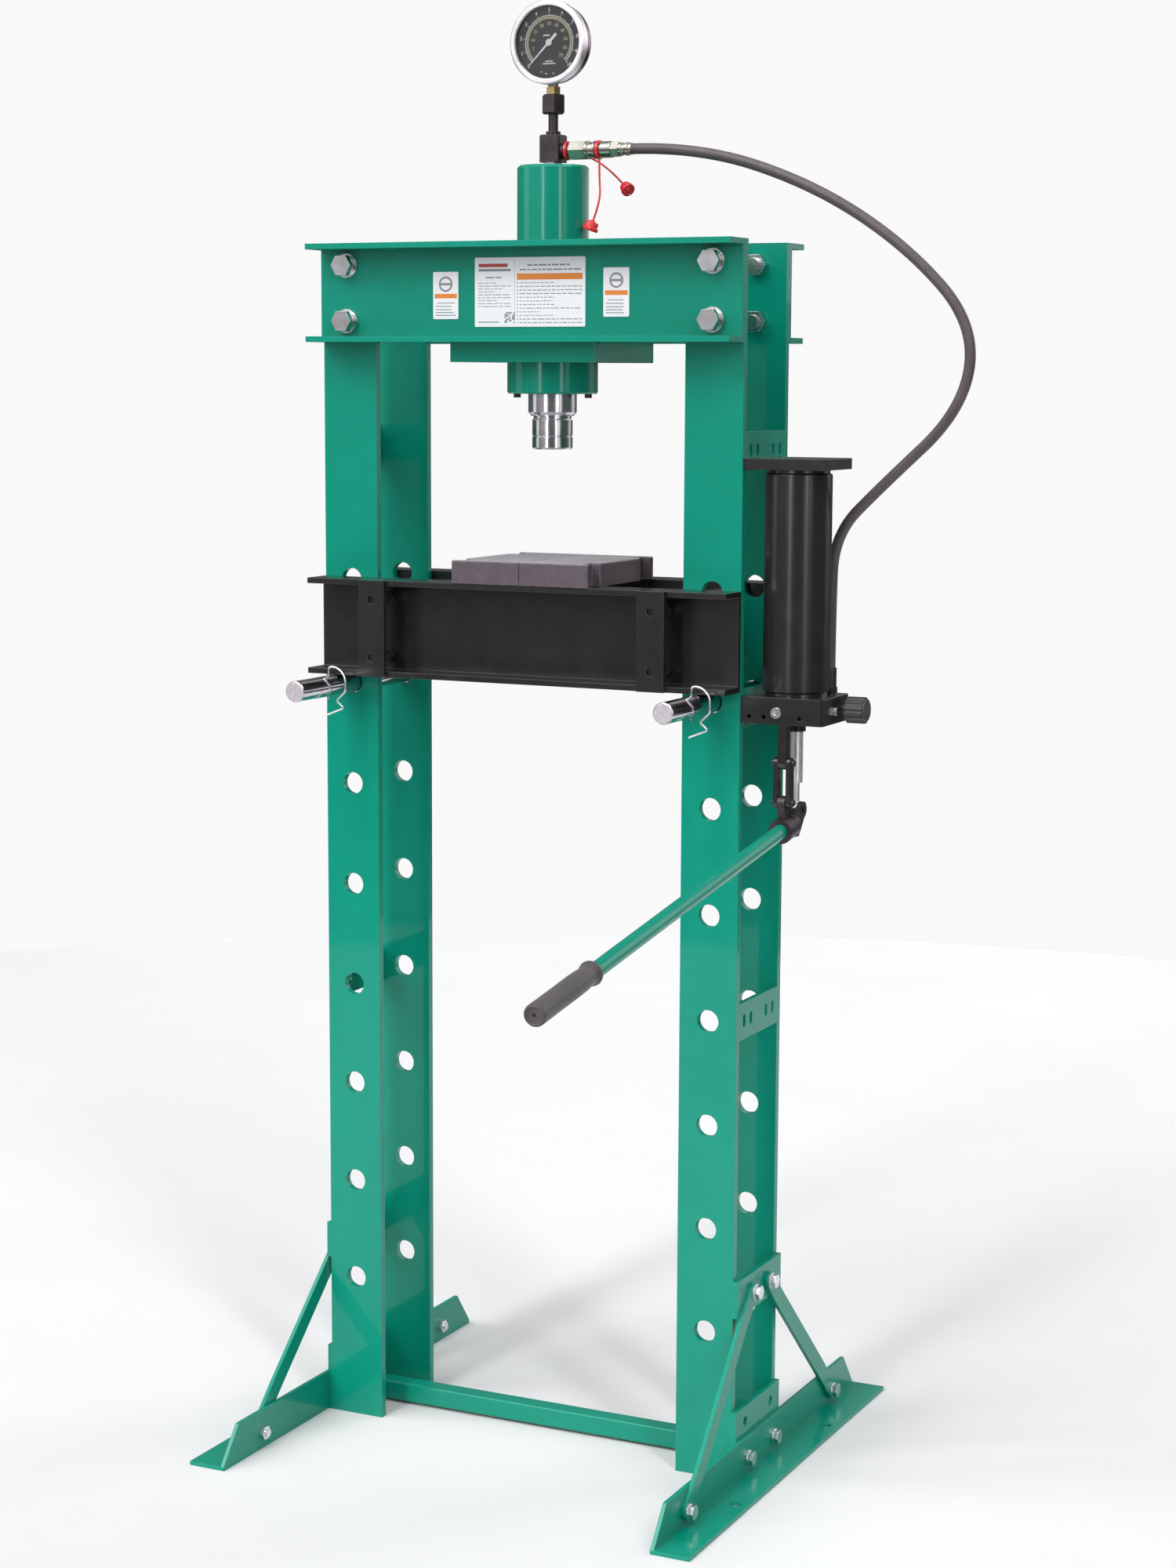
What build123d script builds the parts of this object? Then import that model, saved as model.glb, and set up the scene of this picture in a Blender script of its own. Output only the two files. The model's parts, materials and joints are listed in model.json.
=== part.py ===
from build123d import *
import math
import os

os.makedirs("parts", exist_ok=True)

# ---------------------------------------------------------------- dimensions
# Millimetres. X is the width, Y the depth (front is -Y), Z the height.
# The origin is on the floor, midway between the four floor bolt holes.

POST_X = 247.5  # centre of each post, from the middle of the press
FLAT_W = 75.0  # width of a post flat
FLAT_T = 10.0  # thickness of a post flat
POST_D = 140.0  # depth of a post over both flats
FRAME_H = 1510.0  # height of the frame
HOLE_D = 28.0  # bed pin holes
HOLE_PITCH = 130.0
HOLE_Z0 = 185.0  # lowest row
HOLE_ROWS = 8
OUTER = POST_X + FLAT_W / 2  # outer edge of the posts

BEAM_H = 120.0  # channel height, top beams and bed
BEAM_FL = 45.0  # channel flange width over the web
BEAM_T = 6.0  # channel web
FLANGE_T = 7.0
BEAM_Z = FRAME_H - BEAM_H
BOLT_Z = (1416.0, 1484.0)  # beam bolts

HEAD_W = 197.0  # plate that carries the cylinder
HEAD_D = 170.0
HEAD_T = 24.0
HEAD_Z = BEAM_Z - HEAD_T

BARREL_R = 44.0
BARREL_TOP = 1604.0
BORE_R = 36.0
RAM_R = 30.0
RAM_TIP = 1260.0
NOSE_TOP = 1301.0
COLLAR_R = 56.0
COLLAR_Z = 1328.0

GAUGE_Z = 1750.0
LINE_Z = 1621.5  # axis of the hose couplers

BED_Z = 978.3
BED_WEB = POST_D / 2 + 0.5  # inner face of the bed webs
STIFF_X = 190.0
PIN_Z = 965.0
PIN_R = 13.0
PIN_HALF = 210.0

ARBOR_T = 28.0
ARBOR_W = 92.0
ARBOR_Z = BED_Z + BEAM_H + 0.2

FOOT_X = OUTER + 6.0  # inner face of the foot angle
FOOT_L = 323.0
FOOT_H = 50.0
FOOT_T = 5.0
FLOOR_BOLT = (325.0, 150.0)
BOLT_LOW = 22.0
POST_BOLT_Y = 42.0
BRACE_Y = (26.0, 235.0)
BRACE_Z = (230.0, 22.0)

PUMP_X = 338.0
PUMP_Y = -24.0
BLOCK = (285.0, 389.0, -68.0, 20.0, 942.0, 974.0)
TANK_R = 40.0
TANK_TOP = 1242.0
CAP_T = 13.0
PLUNGER_Y = -20.0
LINK_Y = -60.0  # both link pivots
LINK_A = 896.0  # upper link pivot
LINK_B = 848.0  # lower link pivot, the handle's fulcrum
LINK_C = 835.0  # plunger pin
EYE_GAP = 3.3  # all round the plunger pin, in the plunger's eye
ROD_R = 8.0
TILT = 8.5  # the handle's slope below level
TUBE_R = 9.0
TUBE_L = 550.0
GRIP_L = 135.0

HOSE_R = 6.5

# ---------------------------------------------------------------- post flats
hole_rows = [HOLE_Z0 + HOLE_PITCH * k for k in range(HOLE_ROWS)]

with BuildPart() as post_flats_right:
    with BuildSketch(Plane.XZ.offset(POST_D / 2)):
        with Locations((POST_X, FRAME_H / 2)):
            Rectangle(FLAT_W, FRAME_H)
        with Locations(*[(POST_X, z) for z in hole_rows]):
            Circle(HOLE_D / 2, mode=Mode.SUBTRACT)
        with Locations(*[(POST_X, z) for z in BOLT_Z]):
            Circle(8.75, mode=Mode.SUBTRACT)
    extrude(amount=-FLAT_T)
    mirror(about=Plane.XZ)
post_flats_right.part.label = "post_flats_right"
export_step(post_flats_right.part, "parts/post_flats_right.step")

with BuildPart() as post_flats_left:
    mirror(post_flats_right.part, about=Plane.YZ)
post_flats_left.part.label = "post_flats_left"
export_step(post_flats_left.part, "parts/post_flats_left.step")

# ---------------------------------------------------------------- cross plates
# Slotted plates set between the flats, flush with their outer edges. On the
# outside of the post, one plate takes the braces and one the foot.
GAP = POST_D - 2 * FLAT_T
SLOT_Y = (-45.0, -24.0, 24.0, 45.0)
SLOTTED_Z = (575.0, 1263.0)

with BuildPart() as cross_plates_left:
    with BuildSketch(Plane.YZ.offset(-OUTER)):
        with Locations(*[(0, z) for z in SLOTTED_Z]):
            Rectangle(GAP, 46)
        with Locations(*[(y, z) for y in SLOT_Y for z in SLOTTED_Z]):
            SlotOverall(16, 8, rotation=90, mode=Mode.SUBTRACT)
    extrude(amount=6)
    with BuildSketch(Plane.YZ.offset(-OUTER)):
        with Locations((0, BRACE_Z[0])):
            Rectangle(POST_D, 46)
        with Locations((-BRACE_Y[0], BRACE_Z[0]), (BRACE_Y[0], BRACE_Z[0])):
            Circle(5.5, mode=Mode.SUBTRACT)
        with Locations((0, 43.5)):
            Rectangle(POST_D, 87)
        with Locations((-POST_BOLT_Y, BOLT_LOW), (POST_BOLT_Y, BOLT_LOW)):
            Circle(5.5, mode=Mode.SUBTRACT)
        with Locations((-41, 68), (41, 68)):
            Circle(6, mode=Mode.SUBTRACT)
    extrude(amount=-6)
cross_plates_left.part.label = "cross_plates_left"
export_step(cross_plates_left.part, "parts/cross_plates_left.step")

# The right side has one more, behind the pump block.
with BuildPart() as cross_plates_right:
    mirror(cross_plates_left.part, about=Plane.YZ)
    with BuildSketch(Plane.YZ.offset(OUTER - 6)):
        with Locations((0, 958)):
            Rectangle(GAP, 46)
    extrude(amount=6)
cross_plates_right.part.label = "cross_plates_right"
export_step(cross_plates_right.part, "parts/cross_plates_right.step")

# ---------------------------------------------------------------- top beams
# Channels with their webs against the posts and their flanges outward.
web_out = POST_D / 2 + BEAM_T
tip = POST_D / 2 + BEAM_FL

with BuildPart() as top_beam_front:
    with BuildSketch(Plane.YZ.offset(-OUTER)) as beam_profile:
        with BuildLine():
            Polyline(
                (-POST_D / 2, BEAM_Z),
                (-tip, BEAM_Z),
                (-tip, BEAM_Z + FLANGE_T),
                (-web_out, BEAM_Z + FLANGE_T),
                (-web_out, FRAME_H - FLANGE_T),
                (-tip, FRAME_H - FLANGE_T),
                (-tip, FRAME_H),
                (-POST_D / 2, FRAME_H),
                close=True,
            )
        make_face()
        fillet(
            [v for v in beam_profile.vertices() if abs(v.Y + web_out) < 0.1], radius=6
        )
        fillet(
            [v for v in beam_profile.vertices() if abs(v.Y + POST_D / 2) < 0.1],
            radius=2,
        )
    extrude(amount=2 * OUTER)
    with BuildSketch(Plane.XZ.offset(web_out)):
        with Locations(*[(s * POST_X, z) for s in (-1, 1) for z in BOLT_Z]):
            Circle(8.75)
    extrude(amount=-BEAM_T, mode=Mode.SUBTRACT)
top_beam_front.part.label = "top_beam_front"
export_step(top_beam_front.part, "parts/top_beam_front.step")

with BuildPart() as top_beam_rear:
    mirror(top_beam_front.part, about=Plane.XZ)
top_beam_rear.part.label = "top_beam_rear"
export_step(top_beam_rear.part, "parts/top_beam_rear.step")

# M16 bolts with their nuts, and the flat and spring washers under the heads.
beam_bolt_at = [(s * POST_X, z) for s in (-1, 1) for z in BOLT_Z]

with BuildPart() as beam_bolts:
    with BuildSketch(Plane.XZ.offset(web_out + 7)):
        with Locations(*beam_bolt_at):
            RegularPolygon(radius=12, side_count=6, major_radius=False)
    extrude(amount=10)
    with BuildSketch(Plane.XZ.offset(web_out + 7)):
        with Locations(*beam_bolt_at):
            Circle(8)
    extrude(amount=-42)
    with BuildSketch(Plane.XZ.offset(POST_D / 2 - FLAT_T)):
        with Locations(*beam_bolt_at):
            RegularPolygon(radius=12, side_count=6, major_radius=False)
            Circle(8.15, mode=Mode.SUBTRACT)
    extrude(amount=-13)
    mirror(about=Plane.XZ)
beam_bolts.part.label = "beam_bolts"
export_step(beam_bolts.part, "parts/beam_bolts.step")

with BuildPart() as beam_washers:
    with BuildSketch(Plane.XZ.offset(web_out)):
        with Locations(*beam_bolt_at):
            Circle(15)
            Circle(8.6, mode=Mode.SUBTRACT)
    extrude(amount=3)
    with BuildSketch(Plane.XZ.offset(web_out + 3)):
        with Locations(*beam_bolt_at):
            Circle(13)
            Circle(8.4, mode=Mode.SUBTRACT)
        with Locations(*[(x + 11, z) for x, z in beam_bolt_at]):
            Rectangle(8, 1.2, mode=Mode.SUBTRACT)
    extrude(amount=4)
    mirror(about=Plane.XZ)
beam_washers.part.label = "beam_washers"
export_step(beam_washers.part, "parts/beam_washers.step")

# ---------------------------------------------------------------- cylinder
with BuildPart() as head_plate:
    with BuildSketch(Plane.XY.offset(HEAD_Z)):
        Rectangle(HEAD_W, HEAD_D)
        Circle(42.2, mode=Mode.SUBTRACT)
    extrude(amount=HEAD_T)
    chamfer(head_plate.edges().filter_by(Axis.Z), 2)
head_plate.part.label = "head_plate"
export_step(head_plate.part, "parts/head_plate.step")

with BuildPart() as cylinder_barrel:
    with BuildSketch(Plane.XZ):
        with BuildLine():
            Polyline(
                (4, BARREL_TOP),
                (BARREL_R - 3, BARREL_TOP),
                (BARREL_R, BARREL_TOP - 3),
                (BARREL_R, BEAM_Z),
                (42, BEAM_Z),
                (42, COLLAR_Z + 2),
                (RAM_R + 0.05, COLLAR_Z + 2),
                (RAM_R + 0.05, COLLAR_Z + 22),
                (BORE_R, COLLAR_Z + 22),
                (BORE_R, BARREL_TOP - 12),
                (4, BARREL_TOP - 12),
                close=True,
            )
        make_face()
    revolve(axis=Axis.Z)
cylinder_barrel.part.label = "cylinder_barrel"
export_step(cylinder_barrel.part, "parts/cylinder_barrel.step")

with BuildPart() as cylinder_collar:
    with BuildSketch(Plane.XY.offset(COLLAR_Z)):
        Circle(COLLAR_R)
        Circle(42.1, mode=Mode.SUBTRACT)
    extrude(amount=HEAD_Z - COLLAR_Z)
    chamfer(
        cylinder_collar.edges().filter_by(GeomType.CIRCLE).sort_by(Axis.Z)[:2].sort_by(
            SortBy.RADIUS
        )[-1],
        2,
    )
cylinder_collar.part.label = "cylinder_collar"
export_step(cylinder_collar.part, "parts/cylinder_collar.step")

with BuildPart() as collar_screws:
    with BuildSketch(Plane.XY.offset(COLLAR_Z - 5)):
        with Locations((-49, 0), (49, 0)):
            Circle(4.5)
            RegularPolygon(
                radius=2, side_count=6, major_radius=False, mode=Mode.SUBTRACT
            )
    extrude(amount=3.5)
    with BuildSketch(Plane.XY.offset(COLLAR_Z - 1.5)):
        with Locations((-49, 0), (49, 0)):
            Circle(4.5)
    extrude(amount=1.5)
collar_screws.part.label = "collar_screws"
export_step(collar_screws.part, "parts/collar_screws.step")

with BuildPart() as ram:
    with BuildSketch(Plane.XZ):
        with BuildLine():
            Polyline(
                (0, NOSE_TOP),
                (27, NOSE_TOP),
                (27, NOSE_TOP + 1.5),
                (RAM_R, NOSE_TOP + 4.5),
                (RAM_R, 1566),
                (BORE_R - 0.05, 1566),
                (BORE_R - 0.05, 1588),
                (0, 1588),
                close=True,
            )
        make_face()
    revolve(axis=Axis.Z)
ram.part.label = "ram"
export_step(ram.part, "parts/ram.step")

with BuildPart() as ram_nose:
    with BuildSketch(Plane.XZ):
        with BuildLine():
            Polyline(
                (0, RAM_TIP),
                (23, RAM_TIP),
                (25, RAM_TIP + 2),
                (25, RAM_TIP + 15),
                (24, RAM_TIP + 15.5),
                (24, RAM_TIP + 16.5),
                (25, RAM_TIP + 17),
                (25, NOSE_TOP - 5),
                (23.5, NOSE_TOP - 3.5),
                (23.5, NOSE_TOP),
                (0, NOSE_TOP),
                close=True,
            )
        make_face()
    revolve(axis=Axis.Z)
ram_nose.part.label = "ram_nose"
export_step(ram_nose.part, "parts/ram_nose.step")

# ---------------------------------------------------------------- gauge
with BuildPart() as gauge_case:
    with BuildSketch(Plane.XZ.offset(10.5)):
        with Locations((0, GAUGE_Z)):
            Circle(48)
    extrude(amount=-20.5)
    fillet(
        gauge_case.edges().filter_by(GeomType.CIRCLE).sort_by(Axis.Y)[-1], radius=5
    )
    with BuildSketch(Plane.XY.offset(1698)):
        Circle(6.5)
    extrude(amount=10)
    with BuildSketch(Plane.XZ.offset(10.5)):
        with Locations((0, GAUGE_Z)):
            Circle(1.27)
    extrude(amount=-6, mode=Mode.SUBTRACT)
gauge_case.part.label = "gauge_case"
export_step(gauge_case.part, "parts/gauge_case.step")

with BuildPart() as gauge_bezel:
    with BuildSketch(Plane.YZ) as bezel_profile:
        with BuildLine():
            Polyline(
                (-19.5, GAUGE_Z + 44),
                (-19.5, GAUGE_Z + 48.5),
                (-18, GAUGE_Z + 50),
                (-7.5, GAUGE_Z + 50),
                (-7.5, GAUGE_Z + 48.1),
                (-10.5, GAUGE_Z + 48.1),
                (-10.5, GAUGE_Z + 46.2),
                (-15.5, GAUGE_Z + 46.2),
                (-15.5, GAUGE_Z + 43),
                (-17.5, GAUGE_Z + 43),
                close=True,
            )
        make_face()
    revolve(axis=Axis((0, 0, GAUGE_Z), (0, 1, 0)))
gauge_bezel.part.label = "gauge_bezel"
export_step(gauge_bezel.part, "parts/gauge_bezel.step")

with BuildPart() as gauge_dial:
    with BuildSketch(Plane.XZ.offset(11.5)):
        with Locations((0, GAUGE_Z)):
            Circle(46)
            Circle(1.27, mode=Mode.SUBTRACT)
    extrude(amount=-1)
gauge_dial.part.label = "gauge_dial"
export_step(gauge_dial.part, "parts/gauge_dial.step")

with BuildPart() as gauge_glass:
    with BuildSketch(Plane.XZ.offset(15.5)):
        with Locations((0, GAUGE_Z)):
            Circle(46)
    extrude(amount=-1.5)
gauge_glass.part.label = "gauge_glass"
export_step(gauge_glass.part, "parts/gauge_glass.step")

# The pointer rests at zero, at the lower left of the dial.
with BuildPart() as gauge_pointer:
    with BuildSketch(
        Plane(origin=(0, -12.3, GAUGE_Z), x_dir=(-1, 0, -1), z_dir=(0, -1, 0))
    ):
        with BuildLine():
            Polyline((-14, 1.8), (-14, -1.8), (0, -1.4), (36, -0.5), (36, 0.5), (0, 1.4), close=True)
        make_face()
        Circle(4)
    extrude(amount=0.8)
    with BuildSketch(Plane.XZ.offset(12.3)):
        with Locations((0, GAUGE_Z)):
            Circle(1.2)
    extrude(amount=-4.5)
gauge_pointer.part.label = "gauge_pointer"
export_step(gauge_pointer.part, "parts/gauge_pointer.step")

with BuildPart() as gauge_stem:
    with BuildSketch(Plane.XY.offset(1689)):
        RegularPolygon(radius=8, side_count=6, major_radius=False)
    extrude(amount=9)
gauge_stem.part.label = "gauge_stem"
export_step(gauge_stem.part, "parts/gauge_stem.step")

with BuildPart() as gauge_connector:
    with BuildSketch(Plane.XY.offset(1666)):
        RegularPolygon(radius=13, side_count=6, major_radius=False)
    extrude(amount=23)
    chamfer(gauge_connector.faces().sort_by(Axis.Z)[-1].edges(), 1.5)
    chamfer(gauge_connector.faces().sort_by(Axis.Z)[0].edges(), 1.5)
    with BuildSketch(Plane.XY.offset(1645)):
        Circle(6)
    extrude(amount=21)
    with BuildSketch(Plane.XY.offset(1641)):
        Circle(9)
    extrude(amount=4)
gauge_connector.part.label = "gauge_connector"
export_step(gauge_connector.part, "parts/gauge_connector.step")

# Tee above the cylinder, with its branch toward the hose.
with BuildPart() as tee_block:
    with BuildSketch(Plane.XY.offset(1608)):
        RectangleRounded(27, 27, 4)
    extrude(amount=33)
    chamfer(tee_block.faces().sort_by(Axis.Z)[-1].edges(), 1.5)
    with BuildSketch(Plane.YZ.offset(13.5)):
        with Locations((0, LINE_Z)):
            Circle(9.5)
    extrude(amount=3)
tee_block.part.label = "tee_block"
export_step(tee_block.part, "parts/tee_block.step")

with BuildPart() as tee_nipple:
    with BuildSketch(Plane.XY.offset(BARREL_TOP)):
        RegularPolygon(radius=10, side_count=6, major_radius=False)
    extrude(amount=4)
tee_nipple.part.label = "tee_nipple"
export_step(tee_nipple.part, "parts/tee_nipple.step")

# ---------------------------------------------------------------- couplers
with BuildPart() as coupler_plug:
    with BuildSketch(Plane.YZ.offset(16.5)):
        with Locations((0, LINE_Z)):
            Circle(7)
    extrude(amount=8.5)
    with BuildSketch(Plane.YZ.offset(25)):
        with Locations((0, LINE_Z)):
            RegularPolygon(radius=10.5, side_count=6, major_radius=False)
    extrude(amount=21)
coupler_plug.part.label = "coupler_plug"
export_step(coupler_plug.part, "parts/coupler_plug.step")

with BuildPart() as coupler_socket:
    with BuildSketch(Plane.XZ):
        with BuildLine():
            Polyline(
                (46, LINE_Z),
                (46, LINE_Z + 11),
                (49, LINE_Z + 11),
                (50, LINE_Z + 9.5),
                (56, LINE_Z + 9.5),
                (57, LINE_Z + 11),
                (59, LINE_Z + 11),
                (59, LINE_Z + 8),
                (67, LINE_Z + 8),
                (67, LINE_Z + 10),
                (80, LINE_Z + 10),
                (80, LINE_Z),
                close=True,
            )
        make_face()
    revolve(axis=Axis((0, 0, LINE_Z), (1, 0, 0)))
coupler_socket.part.label = "coupler_socket"
export_step(coupler_socket.part, "parts/coupler_socket.step")

with BuildPart() as hose_end_top:
    with BuildSketch(Plane.YZ.offset(80)):
        with Locations((0, LINE_Z)):
            RegularPolygon(radius=8.5, side_count=6, major_radius=False)
    extrude(amount=10)
    with BuildSketch(Plane.XZ):
        with BuildLine():
            Polyline(
                (90, LINE_Z),
                (90, LINE_Z + 8),
                (94, LINE_Z + 8),
                (95, LINE_Z + 7),
                (98, LINE_Z + 7),
                (99, LINE_Z + 8),
                (102, LINE_Z + 8),
                (103, LINE_Z + 7),
                (107, LINE_Z + 7),
                (107, LINE_Z),
                close=True,
            )
        make_face()
    revolve(axis=Axis((0, 0, LINE_Z), (1, 0, 0)))
hose_end_top.part.label = "hose_end_top"
export_step(hose_end_top.part, "parts/hose_end_top.step")

# ---------------------------------------------------------------- dust caps
with BuildPart() as cap_rings:
    with BuildSketch(Plane.YZ.offset(18.5)):
        with Locations((0, LINE_Z)):
            Circle(11.5)
            Circle(7.1, mode=Mode.SUBTRACT)
    extrude(amount=3)
    with BuildSketch(Plane.YZ.offset(61)):
        with Locations((0, LINE_Z)):
            Circle(11.5)
            Circle(8.1, mode=Mode.SUBTRACT)
    extrude(amount=3)
cap_rings.part.label = "cap_rings"
export_step(cap_rings.part, "parts/cap_rings.step")


def bends(points):
    """Radius of the arc at each inner corner of a route."""
    radii = []
    for a, b, c in zip(points, points[1:], points[2:]):
        u, v = Vector(*b) - Vector(*a), Vector(*c) - Vector(*b)
        half = math.radians(u.get_angle(v)) / 2
        radii.append(0.45 * min(u.length, v.length) / math.tan(half))
    return radii


STRAP_R = 1.25
strap_route_near = [
    (20, 11.5, LINE_Z),
    (20, 38, LINE_Z),
    (54, 45, LINE_Z - 18),
    (84, 25, LINE_Z - 41),
]
strap_route_far = [
    (62.5, 0, LINE_Z - 11.5),
    (62.5, 0, LINE_Z - 33),
    (67, -5, LINE_Z - 60),
    (58, -7, LINE_Z - 84),
]
print("strap near radii", [round(r, 1) for r in bends(strap_route_near)])
print("strap far radii", [round(r, 1) for r in bends(strap_route_far)])

with BuildPart() as cap_strap_near:
    with BuildLine() as strap_near_path:
        FilletPolyline(*strap_route_near, radius=bends(strap_route_near))
    with BuildSketch(strap_near_path.line ^ 0):
        Circle(STRAP_R)
    sweep()
cap_strap_near.part.label = "cap_strap_near"
export_step(cap_strap_near.part, "parts/cap_strap_near.step")

with BuildPart() as cap_strap_far:
    with BuildLine() as strap_far_path:
        FilletPolyline(*strap_route_far, radius=bends(strap_route_far))
    with BuildSketch(strap_far_path.line ^ 0):
        Circle(STRAP_R)
    sweep()
cap_strap_far.part.label = "cap_strap_far"
export_step(cap_strap_far.part, "parts/cap_strap_far.step")

with BuildPart() as dust_cap_near:
    with BuildSketch(strap_near_path.line ^ 1):
        Circle(8.5)
    extrude(amount=13)
    with BuildSketch(Plane(strap_near_path.line ^ 1).offset(13)):
        Circle(6.5)
    extrude(amount=-10, mode=Mode.SUBTRACT)
dust_cap_near.part.label = "dust_cap_near"
export_step(dust_cap_near.part, "parts/dust_cap_near.step")

with BuildPart() as dust_cap_far:
    with BuildSketch(strap_far_path.line ^ 1):
        Circle(10)
    extrude(amount=13)
    with BuildSketch(Plane(strap_far_path.line ^ 1).offset(13)):
        Circle(8)
    extrude(amount=-10, mode=Mode.SUBTRACT)
dust_cap_far.part.label = "dust_cap_far"
export_step(dust_cap_far.part, "parts/dust_cap_far.step")

# ---------------------------------------------------------------- bed
bed_tip = BED_WEB + BEAM_FL
bed_out = BED_WEB + BEAM_T
BED_TOP = BED_Z + BEAM_H
BED_MID = BED_Z + BEAM_H / 2

with BuildPart() as bed_channel_front:
    with BuildSketch(Plane.YZ.offset(-OUTER)) as bed_profile:
        with BuildLine():
            Polyline(
                (-BED_WEB, BED_Z),
                (-bed_tip, BED_Z),
                (-bed_tip, BED_Z + FLANGE_T),
                (-bed_out, BED_Z + FLANGE_T),
                (-bed_out, BED_TOP - FLANGE_T),
                (-bed_tip, BED_TOP - FLANGE_T),
                (-bed_tip, BED_TOP),
                (-BED_WEB, BED_TOP),
                close=True,
            )
        make_face()
        fillet([v for v in bed_profile.vertices() if abs(v.Y + bed_out) < 0.1], radius=6)
        fillet([v for v in bed_profile.vertices() if abs(v.Y + BED_WEB) < 0.1], radius=2)
    extrude(amount=2 * OUTER)
    with BuildSketch(Plane.XZ.offset(bed_out)):
        with Locations(*[(s * STIFF_X, BED_MID + d) for s in (-1, 1) for d in (-36, 36)]):
            Circle(6.5)
    extrude(amount=-BEAM_T, mode=Mode.SUBTRACT)
bed_channel_front.part.label = "bed_channel_front"
export_step(bed_channel_front.part, "parts/bed_channel_front.step")

with BuildPart() as bed_channel_rear:
    mirror(bed_channel_front.part, about=Plane.XZ)
bed_channel_rear.part.label = "bed_channel_rear"
export_step(bed_channel_rear.part, "parts/bed_channel_rear.step")

# Upright plates across the flange tips, with access holes for the bolts, and
# spacer tubes between the webs.
bed_bolt_at = [(s * STIFF_X, BED_MID + d) for s in (-1, 1) for d in (-36, 36)]

with BuildPart() as bed_stiffeners:
    with BuildSketch(Plane.XZ.offset(bed_tip)):
        with Locations((-STIFF_X, BED_MID), (STIFF_X, BED_MID)):
            Rectangle(36, BEAM_H)
        with Locations(*bed_bolt_at):
            Circle(5, mode=Mode.SUBTRACT)
    extrude(amount=6)
    mirror(about=Plane.XZ)
    with BuildSketch(Plane.XZ.offset(BED_WEB)):
        with Locations(*bed_bolt_at):
            Circle(15)
            Circle(6.5, mode=Mode.SUBTRACT)
    extrude(amount=-2 * BED_WEB)
bed_stiffeners.part.label = "bed_stiffeners"
export_step(bed_stiffeners.part, "parts/bed_stiffeners.step")

# Long bolts through the spacers, with their nuts.
with BuildPart() as bed_bolts:
    with BuildSketch(Plane.XZ.offset(bed_out)):
        with Locations(*bed_bolt_at):
            RegularPolygon(radius=9, side_count=6, major_radius=False)
    extrude(amount=7.5)
    with BuildSketch(Plane.XZ.offset(bed_out)):
        with Locations(*bed_bolt_at):
            Circle(6)
    extrude(amount=-(2 * bed_out + 12))
    with BuildSketch(Plane.XZ.offset(-bed_out)):
        with Locations(*bed_bolt_at):
            RegularPolygon(radius=9, side_count=6, major_radius=False)
            Circle(6.15, mode=Mode.SUBTRACT)
    extrude(amount=-10)
bed_bolts.part.label = "bed_bolts"
export_step(bed_bolts.part, "parts/bed_bolts.step")

# ---------------------------------------------------------------- arbor plates
# Loose plates on the bed, notched along their outer long sides.
with BuildPart() as arbor_plate_right:
    with BuildSketch(Plane.XY.offset(ARBOR_Z)):
        with Locations((59.3, -22)):
            Rectangle(ARBOR_W, 190)
        with Locations((105.3, -94), (105.3, 50)):
            Rectangle(24, 28, mode=Mode.SUBTRACT)
    extrude(amount=ARBOR_T)
    chamfer(arbor_plate_right.edges().filter_by(Axis.Z), 1.2)
    chamfer(arbor_plate_right.faces().sort_by(Axis.Z)[-1].outer_wire().edges(), 1.2)
arbor_plate_right.part.label = "arbor_plate_right"
export_step(arbor_plate_right.part, "parts/arbor_plate_right.step")

with BuildPart() as arbor_plate_left:
    with BuildSketch(Plane.XY.offset(ARBOR_Z)):
        with Locations((-33.3, -22)):
            Rectangle(ARBOR_W, 190)
        with Locations((-79.3, -94), (-79.3, 50)):
            Rectangle(24, 28, mode=Mode.SUBTRACT)
    extrude(amount=ARBOR_T)
    chamfer(arbor_plate_left.edges().filter_by(Axis.Z), 1.2)
    chamfer(arbor_plate_left.faces().sort_by(Axis.Z)[-1].outer_wire().edges(), 1.2)
arbor_plate_left.part.label = "arbor_plate_left"
export_step(arbor_plate_left.part, "parts/arbor_plate_left.step")

# ---------------------------------------------------------------- bed pins
CLIP_Y = -128.0  # upright hole for the clip
WIRE_R = 1.25

with BuildPart() as bed_pin_right:
    with BuildSketch(Plane.XZ.offset(PIN_HALF)):
        with Locations((POST_X, PIN_Z)):
            Circle(PIN_R)
    extrude(amount=-2 * PIN_HALF)
    chamfer(bed_pin_right.edges().filter_by(GeomType.CIRCLE), 1.5)
    with BuildSketch(Plane.XY.offset(PIN_Z - 15)):
        with Locations((POST_X, CLIP_Y)):
            Circle(WIRE_R + 0.05)
    extrude(amount=30, mode=Mode.SUBTRACT)
bed_pin_right.part.label = "bed_pin_right"
export_step(bed_pin_right.part, "parts/bed_pin_right.step")

with BuildPart() as bed_pin_left:
    add(bed_pin_right.part.moved(Location((-2 * POST_X, 0, 0))))
bed_pin_left.part.label = "bed_pin_left"
export_step(bed_pin_left.part, "parts/bed_pin_left.step")

# Spring wire clip: an upright leg through the pin, a bow round its side and a
# hooked tail under it.
with BuildPart() as pin_clip_right:
    with BuildLine(Plane.XZ.offset(-CLIP_Y)) as clip_wire:
        FilletPolyline(
            (POST_X, PIN_Z - 16.5),
            (POST_X, PIN_Z + 24),
            (POST_X + 24, PIN_Z + 24),
            (POST_X + 24, PIN_Z - 6),
            (POST_X + 11, PIN_Z - 18),
            (POST_X + 22, PIN_Z - 27),
            (POST_X - 3, PIN_Z - 37),
            radius=[4, 19, 8, 2.2, 2.2],
        )
    with BuildSketch(Plane.XY.offset(PIN_Z - 16.5)):
        with Locations((POST_X, CLIP_Y)):
            Circle(WIRE_R)
    sweep()
pin_clip_right.part.label = "pin_clip_right"
export_step(pin_clip_right.part, "parts/pin_clip_right.step")

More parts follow.
